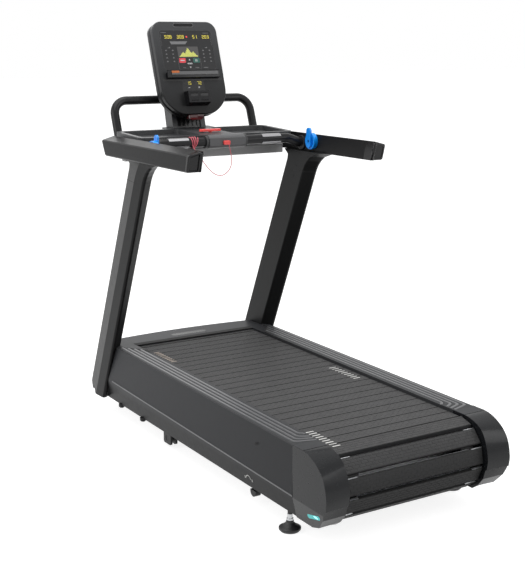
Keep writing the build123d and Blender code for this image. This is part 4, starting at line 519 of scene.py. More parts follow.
def lit_print(name, color, strength):
    """A glowing segment or lamp behind a lens, a little uneven as real ones are."""
    tree, shader = open_material(name)
    flicker = span_node(tree, noise_node(tree, object_place(tree), 260.0), 0.3, 0.7, 0.8, 1.0)
    glow = scaled(tree, color, flicker)
    feed(tree, shader, {
        "Base Color": glow, "Emission Color": glow, "Emission Strength": strength, "Roughness": 0.3,
    })


def woven_cord(name, dark, light):
    """A thin braided cord: two strands of colour crossing along its own length."""
    plait_length = 0.0032
    strands = 3
    tree, shader = open_material(name)
    along = split_node(tree, add_node(tree, "ShaderNodeUVMap", uv_map="along").outputs[0])
    run = math_node(tree, "MULTIPLY", along["X"], 2 * math.pi / plait_length)
    round_it = math_node(tree, "MULTIPLY", along["Y"], 2 * math.pi * strands)
    left = math_node(tree, "SINE", math_node(tree, "ADD", run, round_it))
    right = math_node(tree, "SINE", math_node(tree, "SUBTRACT", run, round_it))
    braid = span_node(tree, math_node(tree, "MULTIPLY", left, right), -1.0, 1.0, 0.0, 1.0)
    feed(tree, shader, {
        "Base Color": mix_color(tree, braid, opaque(dark), opaque(light)), "Roughness": 0.75,
        "Normal": relief_node(tree, braid, 0.6, 0.0003), "Sheen Weight": 0.3,
    })


# ---------------- finishes
moulded("powder_black", (0.013, 0.013, 0.014), 0.06, 0.42, bump=0.25, specular=0.25)
moulded("tube_black", (0.01, 0.01, 0.011), 0.04, 0.3, coat=0.05, specular=0.18)
moulded("shell_grey", (0.0125, 0.0127, 0.013), (0.09, 0.09, 0.092), 0.38, 0.35, bump=0.06, specular=0.1)
moulded("arm_black", (0.0085, 0.0085, 0.009), (0.07, 0.07, 0.072), 0.36, 0.3, bump=0.06, specular=0.1)
moulded("casting_grey", (0.038, 0.039, 0.041), (0.11, 0.11, 0.112), 0.42, 0.35, bump=0.06)
moulded("beam_grey", (0.48, 0.48, 0.482), 0.35, 0.4, 0.3, bump=0.06)
# painted shade: the covers darken towards the rear and under their crease
moulded("cover_grey", (0.024, 0.0248, 0.0272), (0.1, 0.1, 0.104), 0.4, 0.4, dust=0.02, bump=0.06,
        specular=0.1, painted_shading=(("Y", -0.75, 0.6, 0.8, 1.15), ("Z", 0.13, 0.16, 0.3, 1.0)))
moulded("cap_dark", (0.0075, 0.0082, 0.0094), (0.1, 0.1, 0.106), 0.26, bump=0.02, coat=0.12,
        specular=0.18)
moulded("rail_grip", (0.032, 0.033, 0.035), (0.16, 0.16, 0.165), 0.5, bump=0.04, specular=0.12)
# the ribs are lighter than the rail, partly their own grey and partly a painted highlight on their rounded
# tops
moulded("rib_grey", (0.062, 0.063, 0.067), (0.2, 0.2, 0.205), 0.3, 0.3, bump=0.03)
# painted highlight: the rolled crease edge is painted lighter than the cover, for the light it catches
moulded("crease_light", (0.075, 0.077, 0.081), (0.2, 0.2, 0.205), 0.3, 0.4)
# painted shade: the treads darken where they go down round the drums
moulded("tread_rubber", (0.034, 0.034, 0.035), 0.06, 0.6, mottle=0.3, dust=0.06, grain=500.0, bump=0.4,
        specular=0.26, painted_shading=(("Z", 0.15, 0.29, 0.15, 1.0),))
moulded("mark_white", (0.55, 0.55, 0.53), (0.35, 0.35, 0.34), 0.6, mottle=0.5)
moulded("mark_sand", (0.46, 0.38, 0.31), (0.2, 0.15, 0.12), 0.6, mottle=0.5)
# the colour of dark joints, also laid on as painted shade in the tread gaps, the screw holes and under the
# hood's rear edge
moulded("dark_seam", 0.004, 0.01, 0.8)
moulded("loop_rubber", 0.02, 0.05, 0.6, bump=0.3)
moulded("wheel_rubber", 0.03, 0.09, 0.55, dust=0.1, bump=0.4)
moulded("painted_iron", (0.05, 0.05, 0.055), 0.16, 0.5, bump=0.4, grain=400.0)
moulded("black_plastic", (0.013, 0.013, 0.014), 0.04, 0.46, bump=0.3)
moulded("grey_plastic", (0.06, 0.061, 0.064), 0.15, 0.42)
moulded("gloss_black", (0.007, 0.007, 0.008), 0.03, 0.22, coat=0.15, bump=0.05, specular=0.2)
moulded("red_plastic", (0.78, 0.055, 0.05), (0.9, 0.25, 0.22), 0.3, coat=0.3, bump=0.05)
moulded("blue_plastic", (0.0, 0.24, 0.8), (0.1, 0.4, 0.9), 0.35, coat=0.2, bump=0.05)
# painted light and shade: the console's shell lightens towards its top and darkens towards its chin
moulded("console_shell", (0.036, 0.037, 0.039), (0.13, 0.13, 0.134), 0.36, 0.6, bump=0.05, edge=0.003,
        specular=0.21, painted_shading=(("Z", 1.25, 1.62, 0.05, 1.35),))
moulded("display_glass", (0.012, 0.012, 0.013), 0.03, 0.34, bump=0.02, specular=0.35)
moulded("window_dark", 0.004, 0.01, 0.25, bump=0.02)
moulded("print_grey", (0.14, 0.14, 0.145), 0.2, 0.45, bump=0.05)
moulded("print_pale", (0.45, 0.45, 0.46), 0.5, 0.5, bump=0.05)
moulded("key_red", (0.62, 0.045, 0.06), (0.7, 0.2, 0.2), 0.42, bump=0.05)
moulded("key_green", (0.01, 0.085, 0.065), (0.1, 0.2, 0.18), 0.42, bump=0.05)
moulded("plate_grey", (0.05, 0.048, 0.048), 0.1, 0.45, bump=0.1)
moulded("rack_strip_grey", (0.085, 0.086, 0.088), 0.2, 0.5, grain=300.0, bump=0.5)
moulded("orange_tag", (0.42, 0.1, 0.012), (0.6, 0.25, 0.1), 0.45, bump=0.1)
# the neck core's own dark, also used for the painted shadow under the reading rack
moulded("neck_dark", 0.004, 0.02, 0.35, bump=0.1)
moulded("receiver_red", (0.085, 0.004, 0.006), (0.2, 0.03, 0.03), 0.16, coat=0.5, bump=0.02)
metal("slat_alloy", (0.62, 0.63, 0.65), 0.28)
metal("bare_steel", (0.56, 0.57, 0.58), 0.3)
metal("zinc_plate", (0.62, 0.63, 0.66), 0.34, along=(1.0, 1.0, 0.05), tarnish=0.3)
metal("sensor_steel", (0.36, 0.36, 0.37), 0.26)
lit_print("teal_lens", (0.02, 0.42, 0.42), 0.45)
lit_print("light_glow", (0.45, 0.95, 0.95), 0.7)
lit_print("lit_yellow", (0.62, 0.52, 0.06), 0.55)
lit_print("lit_green", (0.42, 0.44, 0.1), 0.45)
lit_print("lit_red", (0.75, 0.05, 0.04), 0.5)
woven_cord("cord_weave", (0.55, 0.03, 0.07), (0.85, 0.22, 0.25))

# slots of the CAD nodes whose finish has another name
SLOT_FINISH = {
    "frame_black": "powder_black", "steel": "bare_steel", "zinc": "zinc_plate", "iron": "painted_iron",
    "display": "display_glass", "light_lens": "teal_lens", "cord_fabric": "cord_weave",
}
# nodes whose paint differs from their slot's plain finish
PAINTED_NODES = {
    "tube_black": ("grip_bar", "accessory_hoop"),
    "console_shell": ("console_bezel", "console_back"),
    "gloss_black": ("reading_rack", "rocker_block", "rocker_left", "rocker_right", "arm_end_caps"),
    "arm_black": ("arm_left", "arm_right"),
    "beam_grey": ("cross_beam",),
    "casting_grey": ("console_tray", "console_neck"),
    "powder_black": ("lift_brackets", "frame_bumpers"),
}


def finish_cad_nodes():
    """Give every carried-over node its own paint, or the finish of its slot."""
    own_paint = {name: paint for paint, names in PAINTED_NODES.items() for name in names}
    for name, node in nodes.items():
        materials = node.data.materials
        slot = materials[0].name.split(".")[0]
        paint = own_paint.get(name) or SLOT_FINISH.get(slot, slot)
        for index in range(len(materials)):
            materials[index] = finish[paint]


finish_cad_nodes()

lanyard.data.materials.append(finish["cord_weave"])
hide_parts("lanyard_cord", "lanyard_wrap")
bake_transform(lanyard)


# ---------------- trees that repeat a shape
def open_repeat(name, inputs):
    """A geometry node tree that takes a geometry, its own inputs and a material."""
    return open_group("GeometryNodeTree", name, {
        "Geometry": ("Geometry",), **{label: (kind,) for label, kind in inputs.items()},
        "Material": ("Material",),
    }, {"Geometry": "Geometry"})


def end_in_material(tree, source, sink, geometry):
    """Close a tree with Realize Instances and Set Material."""
    real = add_node(tree, "GeometryNodeRealizeInstances", {0: geometry})
    paint = {"Geometry": real.outputs[0], "Material": source.outputs["Material"]}
    feed(tree, sink, {"Geometry": add_node(tree, "GeometryNodeSetMaterial", paint).outputs[0]})
    return tree


def build_bar_row():
    """A straight row of equal bars: count, start, step, bar size and tilt."""
    tree, source, sink = open_repeat("bar_row", {
        "Count": "Int", "Start": "Vector", "Step": "Vector", "Bar": "Vector", "Tilt": "Vector"})
    wanted = source.outputs
    line = add_node(tree, "GeometryNodeMeshLine", {
        "Count": wanted["Count"], "Start Location": wanted["Start"], "Offset": wanted["Step"]})
    bar = add_node(tree, "GeometryNodeMeshCube", {"Size": wanted["Bar"]})
    row = add_node(tree, "GeometryNodeInstanceOnPoints", {
        "Points": line.outputs["Mesh"], "Instance": bar.outputs["Mesh"], "Rotation": wanted["Tilt"]})
    return end_in_material(tree, source, sink, row.outputs["Instances"])


def build_turned_set():
    """One item placed on every point, turned about X by the point's own turn."""
    tree, source, sink = open_repeat("turned_set", {"Item": "Object"})
    item = add_node(tree, "GeometryNodeObjectInfo", {"Object": source.outputs["Item"]})
    turn = add_node(tree, "GeometryNodeInputNamedAttribute", {"Name": "turn"}, data_type="FLOAT_VECTOR")
    placed = add_node(tree, "GeometryNodeInstanceOnPoints", {
        "Points": source.outputs["Geometry"], "Instance": item.outputs["Geometry"],
        "Rotation": turn.outputs["Attribute"]})
    return end_in_material(tree, source, sink, placed.outputs["Instances"])


def build_ridge():
    """A half-round ridge swept along a path: width and height."""
    tree, source, sink = open_repeat("ridge", {"Width": "Float", "Height": "Float"})
    profile = add_node(tree, "GeometryNodeCurvePrimitiveCircle", {"Resolution": 8, "Radius": 0.5})
    size = add_node(tree, "ShaderNodeCombineXYZ", {
        "X": source.outputs["Width"], "Y": source.outputs["Height"], "Z": 1.0})
    squashed = add_node(tree, "GeometryNodeTransform", {
        "Geometry": profile.outputs["Curve"], "Scale": size.outputs[0]})
    swept = add_node(tree, "GeometryNodeCurveToMesh", {
        "Curve": source.outputs["Geometry"], "Profile Curve": squashed.outputs["Geometry"],
        "Fill Caps": True})
    return end_in_material(tree, source, sink, swept.outputs["Mesh"])


bar_row = build_bar_row()
turned_set = build_turned_set()
ridge = build_ridge()


def grow(seed, tree, settings, paint):
    """Run a tree on an object and keep the result as a plain mesh piece of the machine."""
    name = seed.name
    settings["Material"] = finish[paint]
    growth = seed.modifiers.new(name, "NODES")
    growth.node_group = tree
    for item in tree.interface.items_tree:
        if item.in_out == "INPUT" and item.name in settings:
            growth[item.identifier] = settings[item.name]
    dress(baked(name, seed), paint)


def row_of_bars(name, count, start, step, bar, paint, tilt=(0.0, 0.0, 0.0)):
    """A named row of bars as one plain piece."""
    settings = {"Count": count, "Start": start, "Step": step, "Bar": bar, "Tilt": tilt}
    grow(place_object(name, bpy.data.meshes.new(name)), bar_row, settings, paint)


# ---------------- slat belt
SLAT_PITCH = 0.056
SLAT_COUNT = 60
NEUTRAL_RADIUS = 0.0995
TREAD_TOP_RADIUS = 0.12205
CARRIER_TOP_RADIUS = 0.10605
TREAD_HALF = 0.277
TREAD_WIDTH = 0.0542
REAR_AXLE = (-0.742, 0.186)    # Y and Z
HALF_TURN = math.pi * NEUTRAL_RADIUS
LOOP_LENGTH = SLAT_PITCH * SLAT_COUNT
AXLE_DISTANCE = LOOP_LENGTH / 2 - HALF_TURN

STUD_ROWS = 5
STUDS_IN_ROW = 22
STUD_FIELD = TREAD_WIDTH - 0.0026
STUD_HEIGHT = 0.0007
STUD_LONG = 0.0232
STUD_WIDE = 0.0088
STUD_SLOPE = 0.0007            # how far a stud's sides lean in
CARRIER_END = 0.045
JOINT_THICK = 0.0011


def place_on_loop(distance):
    """The Y of the centre that a slat turns about, and its turn in radians."""
    axle_y = REAR_AXLE[0]
    if distance < AXLE_DISTANCE:
        return axle_y + distance, 0.0
    distance -= AXLE_DISTANCE
    if distance < HALF_TURN:
        return axle_y + AXLE_DISTANCE, distance / NEUTRAL_RADIUS
    distance -= HALF_TURN
    if distance < AXLE_DISTANCE:
        return axle_y + AXLE_DISTANCE - distance, math.pi
    distance -= AXLE_DISTANCE
    return axle_y, math.pi + distance / NEUTRAL_RADIUS


def repeat_on_slats(name, item, paint, past_turn=-1.0):
    """An item on every slat that has turned further than a given turn; the item is used up."""
    places = [place_on_loop((index + 0.5) * SLAT_PITCH) for index in range(SLAT_COUNT)]
    places = [(y, turn) for y, turn in places if turn > past_turn]
    mesh = bpy.data.meshes.new(name)
    mesh.from_pydata([(0.0, y, REAR_AXLE[1]) for y, turn in places], [], [])
    turns = mesh.attributes.new("turn", "FLOAT_VECTOR", "POINT")
    turns.data.foreach_set("vector", [value for y, turn in places for value in (-turn, 0.0, 0.0)])
    grow(place_object(name, mesh), turned_set, {"Item": item}, paint)
    bpy.data.objects.remove(item)


def studded_slat():
    """The stud pattern of one tread: rows of long studs in running bond, with sloped sides."""
    build = bmesh.new()
    row_pitch = STUD_FIELD / STUD_ROWS
    long_pitch = 2 * TREAD_HALF / STUDS_IN_ROW
    for row in range(STUD_ROWS):
        y = (row + 0.5) * row_pitch - STUD_FIELD / 2
        shifted = row % 2
        for number in range(STUDS_IN_ROW - shifted):
            x = (number + 0.5 + shifted / 2) * long_pitch - TREAD_HALF
            rings = []
            for inset, z in ((0.0, TREAD_TOP_RADIUS - SINK), (STUD_SLOPE, TREAD_TOP_RADIUS + STUD_HEIGHT)):
                half_x, half_y = STUD_LONG / 2 - inset, STUD_WIDE / 2 - inset
                rings.append([build.verts.new((x + sx * half_x, y + sy * half_y, z))
                              for sx, sy in ((-1, -1), (1, -1), (1, 1), (-1, 1))])
            build.faces.new(rings[1])
            add_band(build, *rings)
    return place_object("studded_slat", mesh_of("studded_slat", build))


def make_carrier_ends():
    """Bright alloy ends and a thin bright line in the open joints round the rear drum."""
    rear = TREAD_WIDTH / 2 - 2 * SINK
    inner = TREAD_HALF - CARRIER_END
    end = box((inner, rear, CARRIER_TOP_RADIUS + 0.0075),
              (TREAD_HALF, rear + 0.002, TREAD_TOP_RADIUS - 0.0016))
    line = box((-inner, rear, CARRIER_TOP_RADIUS + 0.0005),
               (inner, rear + 0.001, CARRIER_TOP_RADIUS + 0.0045))
    item = piece_of("carrier_end", [*both_sides([end]), line])
    repeat_on_slats("carrier_ends", item, "slat_alloy", past_turn=math.pi * 1.001)


def make_tread_joint_shade():
    """Dark strips of painted shade on the rounded edges of each tread, which draw the joints across the
    belt.
    """
    half = TREAD_HALF - 0.0005
    inner = TREAD_WIDTH / 2 - 0.0012
    low = TREAD_TOP_RADIUS - 0.0004
    high = TREAD_TOP_RADIUS + STUD_HEIGHT * 1.02
    solids = [box((-half, y, low), (half, y + JOINT_THICK, high)) for y in (inner, -inner - JOINT_THICK)]
    repeat_on_slats("tread_joints", piece_of("tread_joint", solids), "dark_seam")


def make_belt_marks():
    """Short printed dashes near the belt's edges that show how fast it runs."""
    count, dash_wide, thick = 9, 0.005, 0.0003
    z = REAR_AXLE[1] + TREAD_TOP_RADIUS + STUD_HEIGHT + thick / 2
    for name, x, y, step, dash_long, paint in (
        ("marks_rear", -0.247, -0.612, -0.0188, 0.03, "mark_white"),
        ("marks_front", -0.25, 0.505, -0.019, 0.024, "mark_sand"),
        ("marks_side", 0.238, -0.045, -0.02, 0.03, "mark_white"),
    ):
        row_of_bars(name, count, (x, y, z), (0.0, step, 0.0), (dash_long, dash_wide, thick),
                    paint)


repeat_on_slats("tread_studs", studded_slat(), "tread_rubber")
make_carrier_ends()
make_belt_marks()


# ---------------- foot rails and caps
RAIL_TOP = 0.3186
RAIL_INNER = 0.281
CAP_INNER = 0.2812
RIB_WIDTH = 0.011
RIB_HEIGHT = 0.0015
RIB_BEND = 0.012
RIBS = (  # distance out from the middle, Y of its rear corner, Y of its inward end
    (0.301, -0.629, -0.642),
    (0.319, -0.652, -0.668),
    (0.337, -0.668, -0.687),
    (0.355, -0.684, -0.706),
)
RIB_END_X = 0.285
HOOD_WING_Y = 0.534
HOOD_WING_SLANT = 1.2
CAP_SEAM_Y = -0.704
CAP_SEAM_MIDDLE = (0, -0.8465, 0.2858)
CAP_SKIN_END = -0.7615         # where the rail's skin stops on the cap
CAP_SKIN_LOW = 0.3172
CAP_SKIN_OUTER = 0.3722
CAP_OUTER = 0.3729
COVER_HOLE = (0.3785, -0.488, 0.254)
COVER_HOLE_NORMAL = (1, 0, 0.13)
POST_INNER = 0.3411
POST_HOLES = ((0.384, 1.048), (0.402, 1.005), (0.302, 1.092))   # Y and Z


def make_foot_rail_ribs():
    """Four grip ridges along each rail that turn inwards at the rear."""
    for side, label in SIDES:
        name = "foot_rail_ribs_" + label
        curve = bpy.data.curves.new(name, "CURVE")
        curve.dimensions = "3D"
        for x, corner_y, end_y in RIBS:
            front_y = HOOD_WING_Y + (x - RAIL_INNER) * HOOD_WING_SLANT - 0.01
            route = [
                (x, front_y), (x, corner_y + RIB_BEND), (x - RIB_BEND * 0.3, corner_y + RIB_BEND * 0.25),
                (x - RIB_BEND, corner_y - RIB_BEND * 0.3), (RIB_END_X, end_y),
            ]
            spline = curve.splines.new("POLY")
            spline.points.add(len(route) - 1)
            for point, (px, py) in zip(spline.points, route):
                point.co = (side * px, py, RAIL_TOP, 1.0)
        settings = {"Width": RIB_WIDTH, "Height": 2 * RIB_HEIGHT}
        grow(place_object(name, curve), ridge, settings, "rib_grey")


def make_rail_tails():
    """The rail's top skin runs on over each rear cap to its rounded edge."""
    tail = box((CAP_INNER + 0.0003, CAP_SKIN_END, CAP_SKIN_LOW),
               (CAP_SKIN_OUTER, CAP_SEAM_Y + 0.001, RAIL_TOP))
    solid_piece("rail_tails", both_sides([tail]), "rail_grip")


def make_cap_seams():
    """The joint line across each rear cap, where its upper shell meets its lower one."""
    out = Vector((0, -0.62, 0.78))
    along = Vector((0, -0.78, -0.62))
    section = [Vector(CAP_SEAM_MIDDLE) + along * shift + out * rise
               for shift, rise in box_outline(-0.0006, -0.0004, 0.0006, 0.0005)]
    seam = prism(section, (CAP_INNER, 0, 0), (CAP_OUTER, 0, 0))
    solid_piece("cap_seams", both_sides([seam]), "dark_seam")


def make_screw_hole_shade():
    """Small dark discs of painted shade inside the screw holes in the covers and in the posts."""
    holes = [disc((POST_INNER, *place), (-1, 0, 0), radius=0.005, thick=0.0005) for place in POST_HOLES]
    holes.append(disc(COVER_HOLE, COVER_HOLE_NORMAL, radius=0.0055, thick=0.0005))
    solid_piece("screw_holes", both_sides(holes), "dark_seam")


make_foot_rail_ribs()
make_rail_tails()
make_cap_seams()
make_screw_hole_shade()


# ---------------- console graphics
FACE_MIDDLE = Vector((0.0, 0.668, 1.5))
FACE_TILT = math.radians(18.5)
FACE_UP = Vector((0, math.sin(FACE_TILT), math.cos(FACE_TILT)))
FACE_OUT = Vector((0, -math.cos(FACE_TILT), math.sin(FACE_TILT)))
PANEL_FACE = -0.0004           # the panels' skin, measured out from the face
PRINT_FOOT = PANEL_FACE - SINK
PRINT_TOP = PANEL_FACE + 0.0004
WELL_TOP = PANEL_FACE + 0.0002
KEY_TOP = 0.0006
RACK_FRONT = 0.0196
SEGMENTS = {"0": "abcdef", "1": "bc", "2": "abged", "3": "abgcd", "4": "fgbc", "5": "afgcd",
            "6": "afgedc", "7": "abc", "8": "abcdefg", "9": "abcdfg"}
DIGIT_STEP = 1.35              # from one digit to the next, in widths of a digit


def face_piece(name, outlines, paint, low=PRINT_FOOT, high=PRINT_TOP):
    """Outlines on the console's tilted face, across it and up it, as one printed or raised piece."""
    solids = []
    for outline in outlines:
        flat = [FACE_MIDDLE + Vector((across, 0, 0)) + FACE_UP * up for across, up in outline]
        solids.append(prism(flat, FACE_OUT * low, FACE_OUT * high))
    solid_piece(name, solids, paint)


def digit_outlines(digit, left, low, wide, high):
    """The lit segments of one digit as outlines."""
    bar = wide * 0.2
    middle = low + high / 2
    places = {
        "a": (left, low + high - bar, left + wide, low + high),
        "g": (left, middle - bar / 2, left + wide, middle + bar / 2),
        "d": (left, low, left + wide, low + bar),
        "f": (left, middle, left + bar, low + high),
        "e": (left, low, left + bar, middle),
        "b": (left + wide - bar, middle, left + wide, low + high),
        "c": (left + wide - bar, low, left + wide, middle),
    }
    return [box_outline(*places[segment]) for segment in SEGMENTS[digit]]


def number_outlines(text, left, low, wide, high):
    """The lit segments of a number, from its left edge."""
    return [outline for index, digit in enumerate(text)
            for outline in digit_outlines(digit, left + index * wide * DIGIT_STEP, low, wide, high)]


def make_number_windows():
    """The four windows along the top of the panel, their digits and the lights beside them."""
    low, high = 0.064, 0.079
    windows = ((-0.106, -0.064, "508"), (-0.05, -0.008, "308"), (0.016, 0.052, "51"),
               (0.062, 0.108, "203"))
    wells = [round_outline(left, low - 0.002, right, high + 0.001, 0.002)
             for left, right, number in windows]
    face_piece("display_wells", wells, "window_dark", high=WELL_TOP)
    digit_wide = 0.0085
    digits = []
    for left, right, number in windows:
        start = right - 0.0015 - (len(number) * DIGIT_STEP - (DIGIT_STEP - 1)) * digit_wide
        digits += number_outlines(number, start, low, digit_wide, high - low - 0.001)
    face_piece("display_digits", digits, "lit_yellow")
    heart = round_outline(-0.0005, 0.0675, 0.0065, 0.0745, 0.003)
    face_piece("heart_light", [heart], "lit_red")
    bar = [(-0.072, 0.04), (-0.008, 0.04), (0.004, 0.052), (-0.077, 0.052)]
    face_piece("status_bar", [bar], "print_grey")


def make_profile_graph():
    """The window in the middle of the panel and the lit bars of a course profile in it."""
    window = round_outline(-0.048, -0.015, 0.047, 0.03, 0.002)
    face_piece("graph_window", [window], "plate_grey", high=PANEL_FACE + 0.0001)
    levels = (2, 4, 7, 9, 11, 9, 8, 12, 16, 20, 18, 15, 11, 9, 10, 12, 9, 7, 4, 3)
    level_high = 0.0018
    left, low, wide = -0.042, -0.0125, 0.084 / len(levels)
    bars = [box_outline(left + i * wide, low, left + i * wide + wide * 0.94, low + level * level_high)
            for i, level in enumerate(levels)]
    face_piece("profile_graph", bars, "lit_green")


def make_keys():
    """The stop and start keys with their symbols, and the arrow keys."""
    for name, left, paint, slot in (
        ("stop_key", -0.047, "key_red", "red_plastic"), ("start_key", 0.017, "key_green", "grey_plastic"),
    ):
        key = round_outline(left, -0.038, left + 0.029, -0.0185, 0.002)
        face_piece(name, [key], paint, high=KEY_TOP)
    symbols = [box_outline(*sides) for sides in (
        (-0.042, -0.03, -0.023, -0.0265),
        (0.027, -0.0335, 0.0295, -0.024), (0.0325, -0.0335, 0.035, -0.024),
    )]
    face_piece("key_symbols", symbols, "print_pale",
               low=KEY_TOP - 0.0002, high=KEY_TOP + 0.0002)
    arrows = [
        [(-0.004, -0.028), (0.004, -0.028), (0, -0.021)],
        [(0, -0.061), (0.004, -0.054), (-0.004, -0.054)],
        [(-0.012, -0.041), (-0.006, -0.045), (-0.006, -0.037)],
        [(0.012, -0.041), (0.006, -0.037), (0.006, -0.045)],
        round_outline(-0.0035, -0.0445, 0.0035, -0.0375, 0.0034),
    ]
    face_piece("arrow_keys", arrows, "print_pale")


def make_panel_lines():
    """Thin printed lines that frame the keys and the upper corners of the panel."""
    lines = [box_outline(*sides) for sides in (
        (-0.052, -0.0645, 0.051, -0.064), (-0.052, -0.0645, -0.0515, -0.018),
        (0.0505, -0.0645, 0.051, -0.018),
        (-0.112, 0.088, -0.088, 0.0895), (0.08, 0.0865, 0.106, 0.088),
        (-0.115, 0.034, -0.1145, 0.086), (0.114, 0.034, 0.1145, 0.082),
    )]
    face_piece("panel_lines", lines, "print_grey")


def make_icon_keys():
    """The small icons of the other keys, in rows down and along the panel."""
    icons = []
    for middle in (-0.1, -0.07, 0.07, 0.1):
        for row in range(4):
            up = 0.0135 - row * 0.0153
            icons += [
                round_outline(middle - 0.0035, up - 0.0015, middle + 0.0035, up + 0.0015, 0.0014, 3),
                box_outline(middle - 0.0015, up + 0.0024, middle + 0.0015, up + 0.0036),
            ]
    for middle in (-0.086, 0.085):
        icons.append([(middle - 0.006, 0.024), (middle + 0.006, 0.024), (middle + 0.006, 0.029)])
    for left, wide in ((-0.034, 0.012), (0.022, 0.017), (0.06, 0.021)):
        icons.append(box_outline(left, -0.0595, left + wide, -0.0572))
    face_piece("icon_keys", icons, "print_grey")


def make_lower_display():
    """The two small windows on the lower plate and their icons."""
    wells = [round_outline(left, -0.131, right, -0.115, 0.001)
             for left, right in ((-0.04, -0.006), (0.007, 0.042))]
    face_piece("lower_wells", wells, "window_dark", high=WELL_TOP)
    digits = [outline for text, left in (("15", -0.029), ("72", 0.018))
              for outline in number_outlines(text, left, -0.1295, 0.008, 0.013)]
    face_piece("lower_digits", digits, "lit_yellow")
    icons = [[(-0.028, -0.143), (-0.018, -0.143), (-0.018, -0.139)],
             round_outline(0.021, -0.144, 0.027, -0.138, 0.0028)]
    face_piece("lower_icons", icons, "print_pale")


def make_rack_trim():
    """The ribbed strip and the tag on the front of the reading rack."""
    foot = RACK_FRONT - 0.006
    strip = round_outline(-0.1, -0.0925, 0.112, -0.0795, 0.001)
    face_piece("rack_strip", [strip], "rack_strip_grey", foot, RACK_FRONT + 0.0011)
    tag = round_outline(-0.1, -0.0855, -0.067, -0.0765, 0.001)
    face_piece("rack_tag", [tag], "orange_tag", foot, RACK_FRONT + 0.002)


make_number_windows()
make_profile_graph()
make_keys()
make_panel_lines()
make_icon_keys()
make_lower_display()
make_rack_trim()
# the belt's painted joint shade comes here so that the pieces keep their order
make_tread_joint_shade()


# ---------------- posts and arms
POST_OUTLINE = [(0.341, 0.657), (0.392, 0.617), (0.397, 0.694), (0.375, 0.806), (0.341, 0.796)]
POST_ROUND = 0.009
POST_LEAN = 0.456
POST_DECK = 0.32
POST_SEAM_HEIGHT = 1.028
POST_SEAM_RISE = 0.0016
ARM_END_Y = -0.108
ARM_END_SLOPE = 0.29
ARM_MIDDLE_Z = 1.149
ARM_SECTION = [(0.361, 1.112), (0.418, 1.112), (0.418, 1.172), (0.361, 1.186)]
ARM_INSET = 0.0047


def make_post_seams():
    """The joint line round each post, where it meets its cast head."""
    shift = -POST_LEAN * (POST_SEAM_HEIGHT - POST_DECK)
    loop = [(x, y + shift, POST_SEAM_HEIGHT) for x, y in rounded_loop(POST_OUTLINE, POST_ROUND, 0.0003)]
    seam = prism(loop, (0, 0, 0), (0, -POST_LEAN * POST_SEAM_RISE, POST_SEAM_RISE))
    solid_piece("post_seams", both_sides([seam]), "dark_seam")


def make_arm_cap_rolls():
    """The rolled rim round the rear end of each arm, with a stouter roll down its inner edge."""
    # how far each corner moves in, in shares of the inset
    shares = ((1, 1), (-1, 1), (-1, -0.9), (1, -1.1))
    corners = [(x + ARM_INSET * dx, z + ARM_INSET * dz) for (x, z), (dx, dz) in zip(ARM_SECTION, shares)]
    rim = rounded_loop(corners, 0.006, steps=3)
    roll = [(0.368, z) for z in (1.18, 1.15, 1.1145)]
    build = bmesh.new()
    for side in (-1, 1):
        for route, proud, radius in ((rim + rim[:1], -0.001, 0.0045), (roll, 0.001, 0.0075)):
            places = [Vector((side * x, ARM_END_Y - ARM_END_SLOPE * (z - ARM_MIDDLE_Z) - proud, z))
                      for x, z in route]
            tube = sweep_round("arm_cap_roll", places, radius, 12)
            build.from_mesh(tube.data)
            bpy.data.objects.remove(tube)
    dress(place_object("arm_cap_rolls", mesh_of("arm_cap_rolls", build)), "gloss_black")


make_post_seams()
make_arm_cap_rolls()


# ---------------- neck, receiver and head
NECK_CORE_FOOT = (0.669, 1.1906)   # Y and Z
NECK_CORE_SLOPE = 0.277
NECK_CORE_HALF = 0.0535
NECK_CORE_ENDS = (0.014, 0.128)    # above its foot


def neck_face(z):
    """The Y of the neck core's leaning face at a height."""
    return NECK_CORE_FOOT[0] + NECK_CORE_SLOPE * (z - NECK_CORE_FOOT[1])


def make_neck_core():
    """The dark ribbed core between the neck's cheeks."""
    low, high = [NECK_CORE_FOOT[1] + rise for rise in NECK_CORE_ENDS]
    face = [(x, neck_face(z), z) for x, z in box_outline(-NECK_CORE_HALF, low, NECK_CORE_HALF, high)]
    solid_piece("neck_core", [prism(face, (0, 0.0005, 0), (0, -0.0008, 0))], "neck_dark")
    middle = (low + high) / 2
    row_of_bars("neck_ribs", 5, (-0.042, neck_face(middle) - 0.0022, middle), (0.021, 0, 0),
                (0.009, 0.004, 0.112), "gloss_black", tilt=(-math.atan(NECK_CORE_SLOPE), 0, 0))


def make_receiver():
    """The dark red window of the heart-rate receiver under the chin."""
    left = [(-0.036, 0, 1.266), (-0.03, 0, 1.241), (-0.022, 0, 1.235)]
    right = [(-x, y, z) for x, y, z in reversed(left)]
    block = piece_of("receiver_block", [prism(left + right, (0, 0.601, 0), (0, 0.642, 0))])
    dress(bevelled("receiver", block, 0.003), "receiver_red")


def make_head_trim():
    """The blank oval plate at the top of the head and a dark band painted as the shadow under the reading
    rack.
    """
    rim = round_outline(-0.05, 0.1125, 0.042, 0.1285, 0.0078, 6)
    face_piece("head_plate_rim", [rim], "print_grey", low=-0.0002, high=0.0005)
    plate = round_outline(-0.0485, 0.114, 0.0405, 0.127, 0.0063, 6)
    face_piece("head_plate", [plate], "gloss_black", low=0.0002, high=0.0009)
    # painted shadow: a dark band under the reading rack
    rack_shadow_band = box_outline(-0.137, -0.1125, 0.137, -0.104)
    face_piece("rack_gap", [rack_shadow_band], "neck_dark", low=-0.0008, high=0.0004)


make_neck_core()
make_receiver()
make_head_trim()


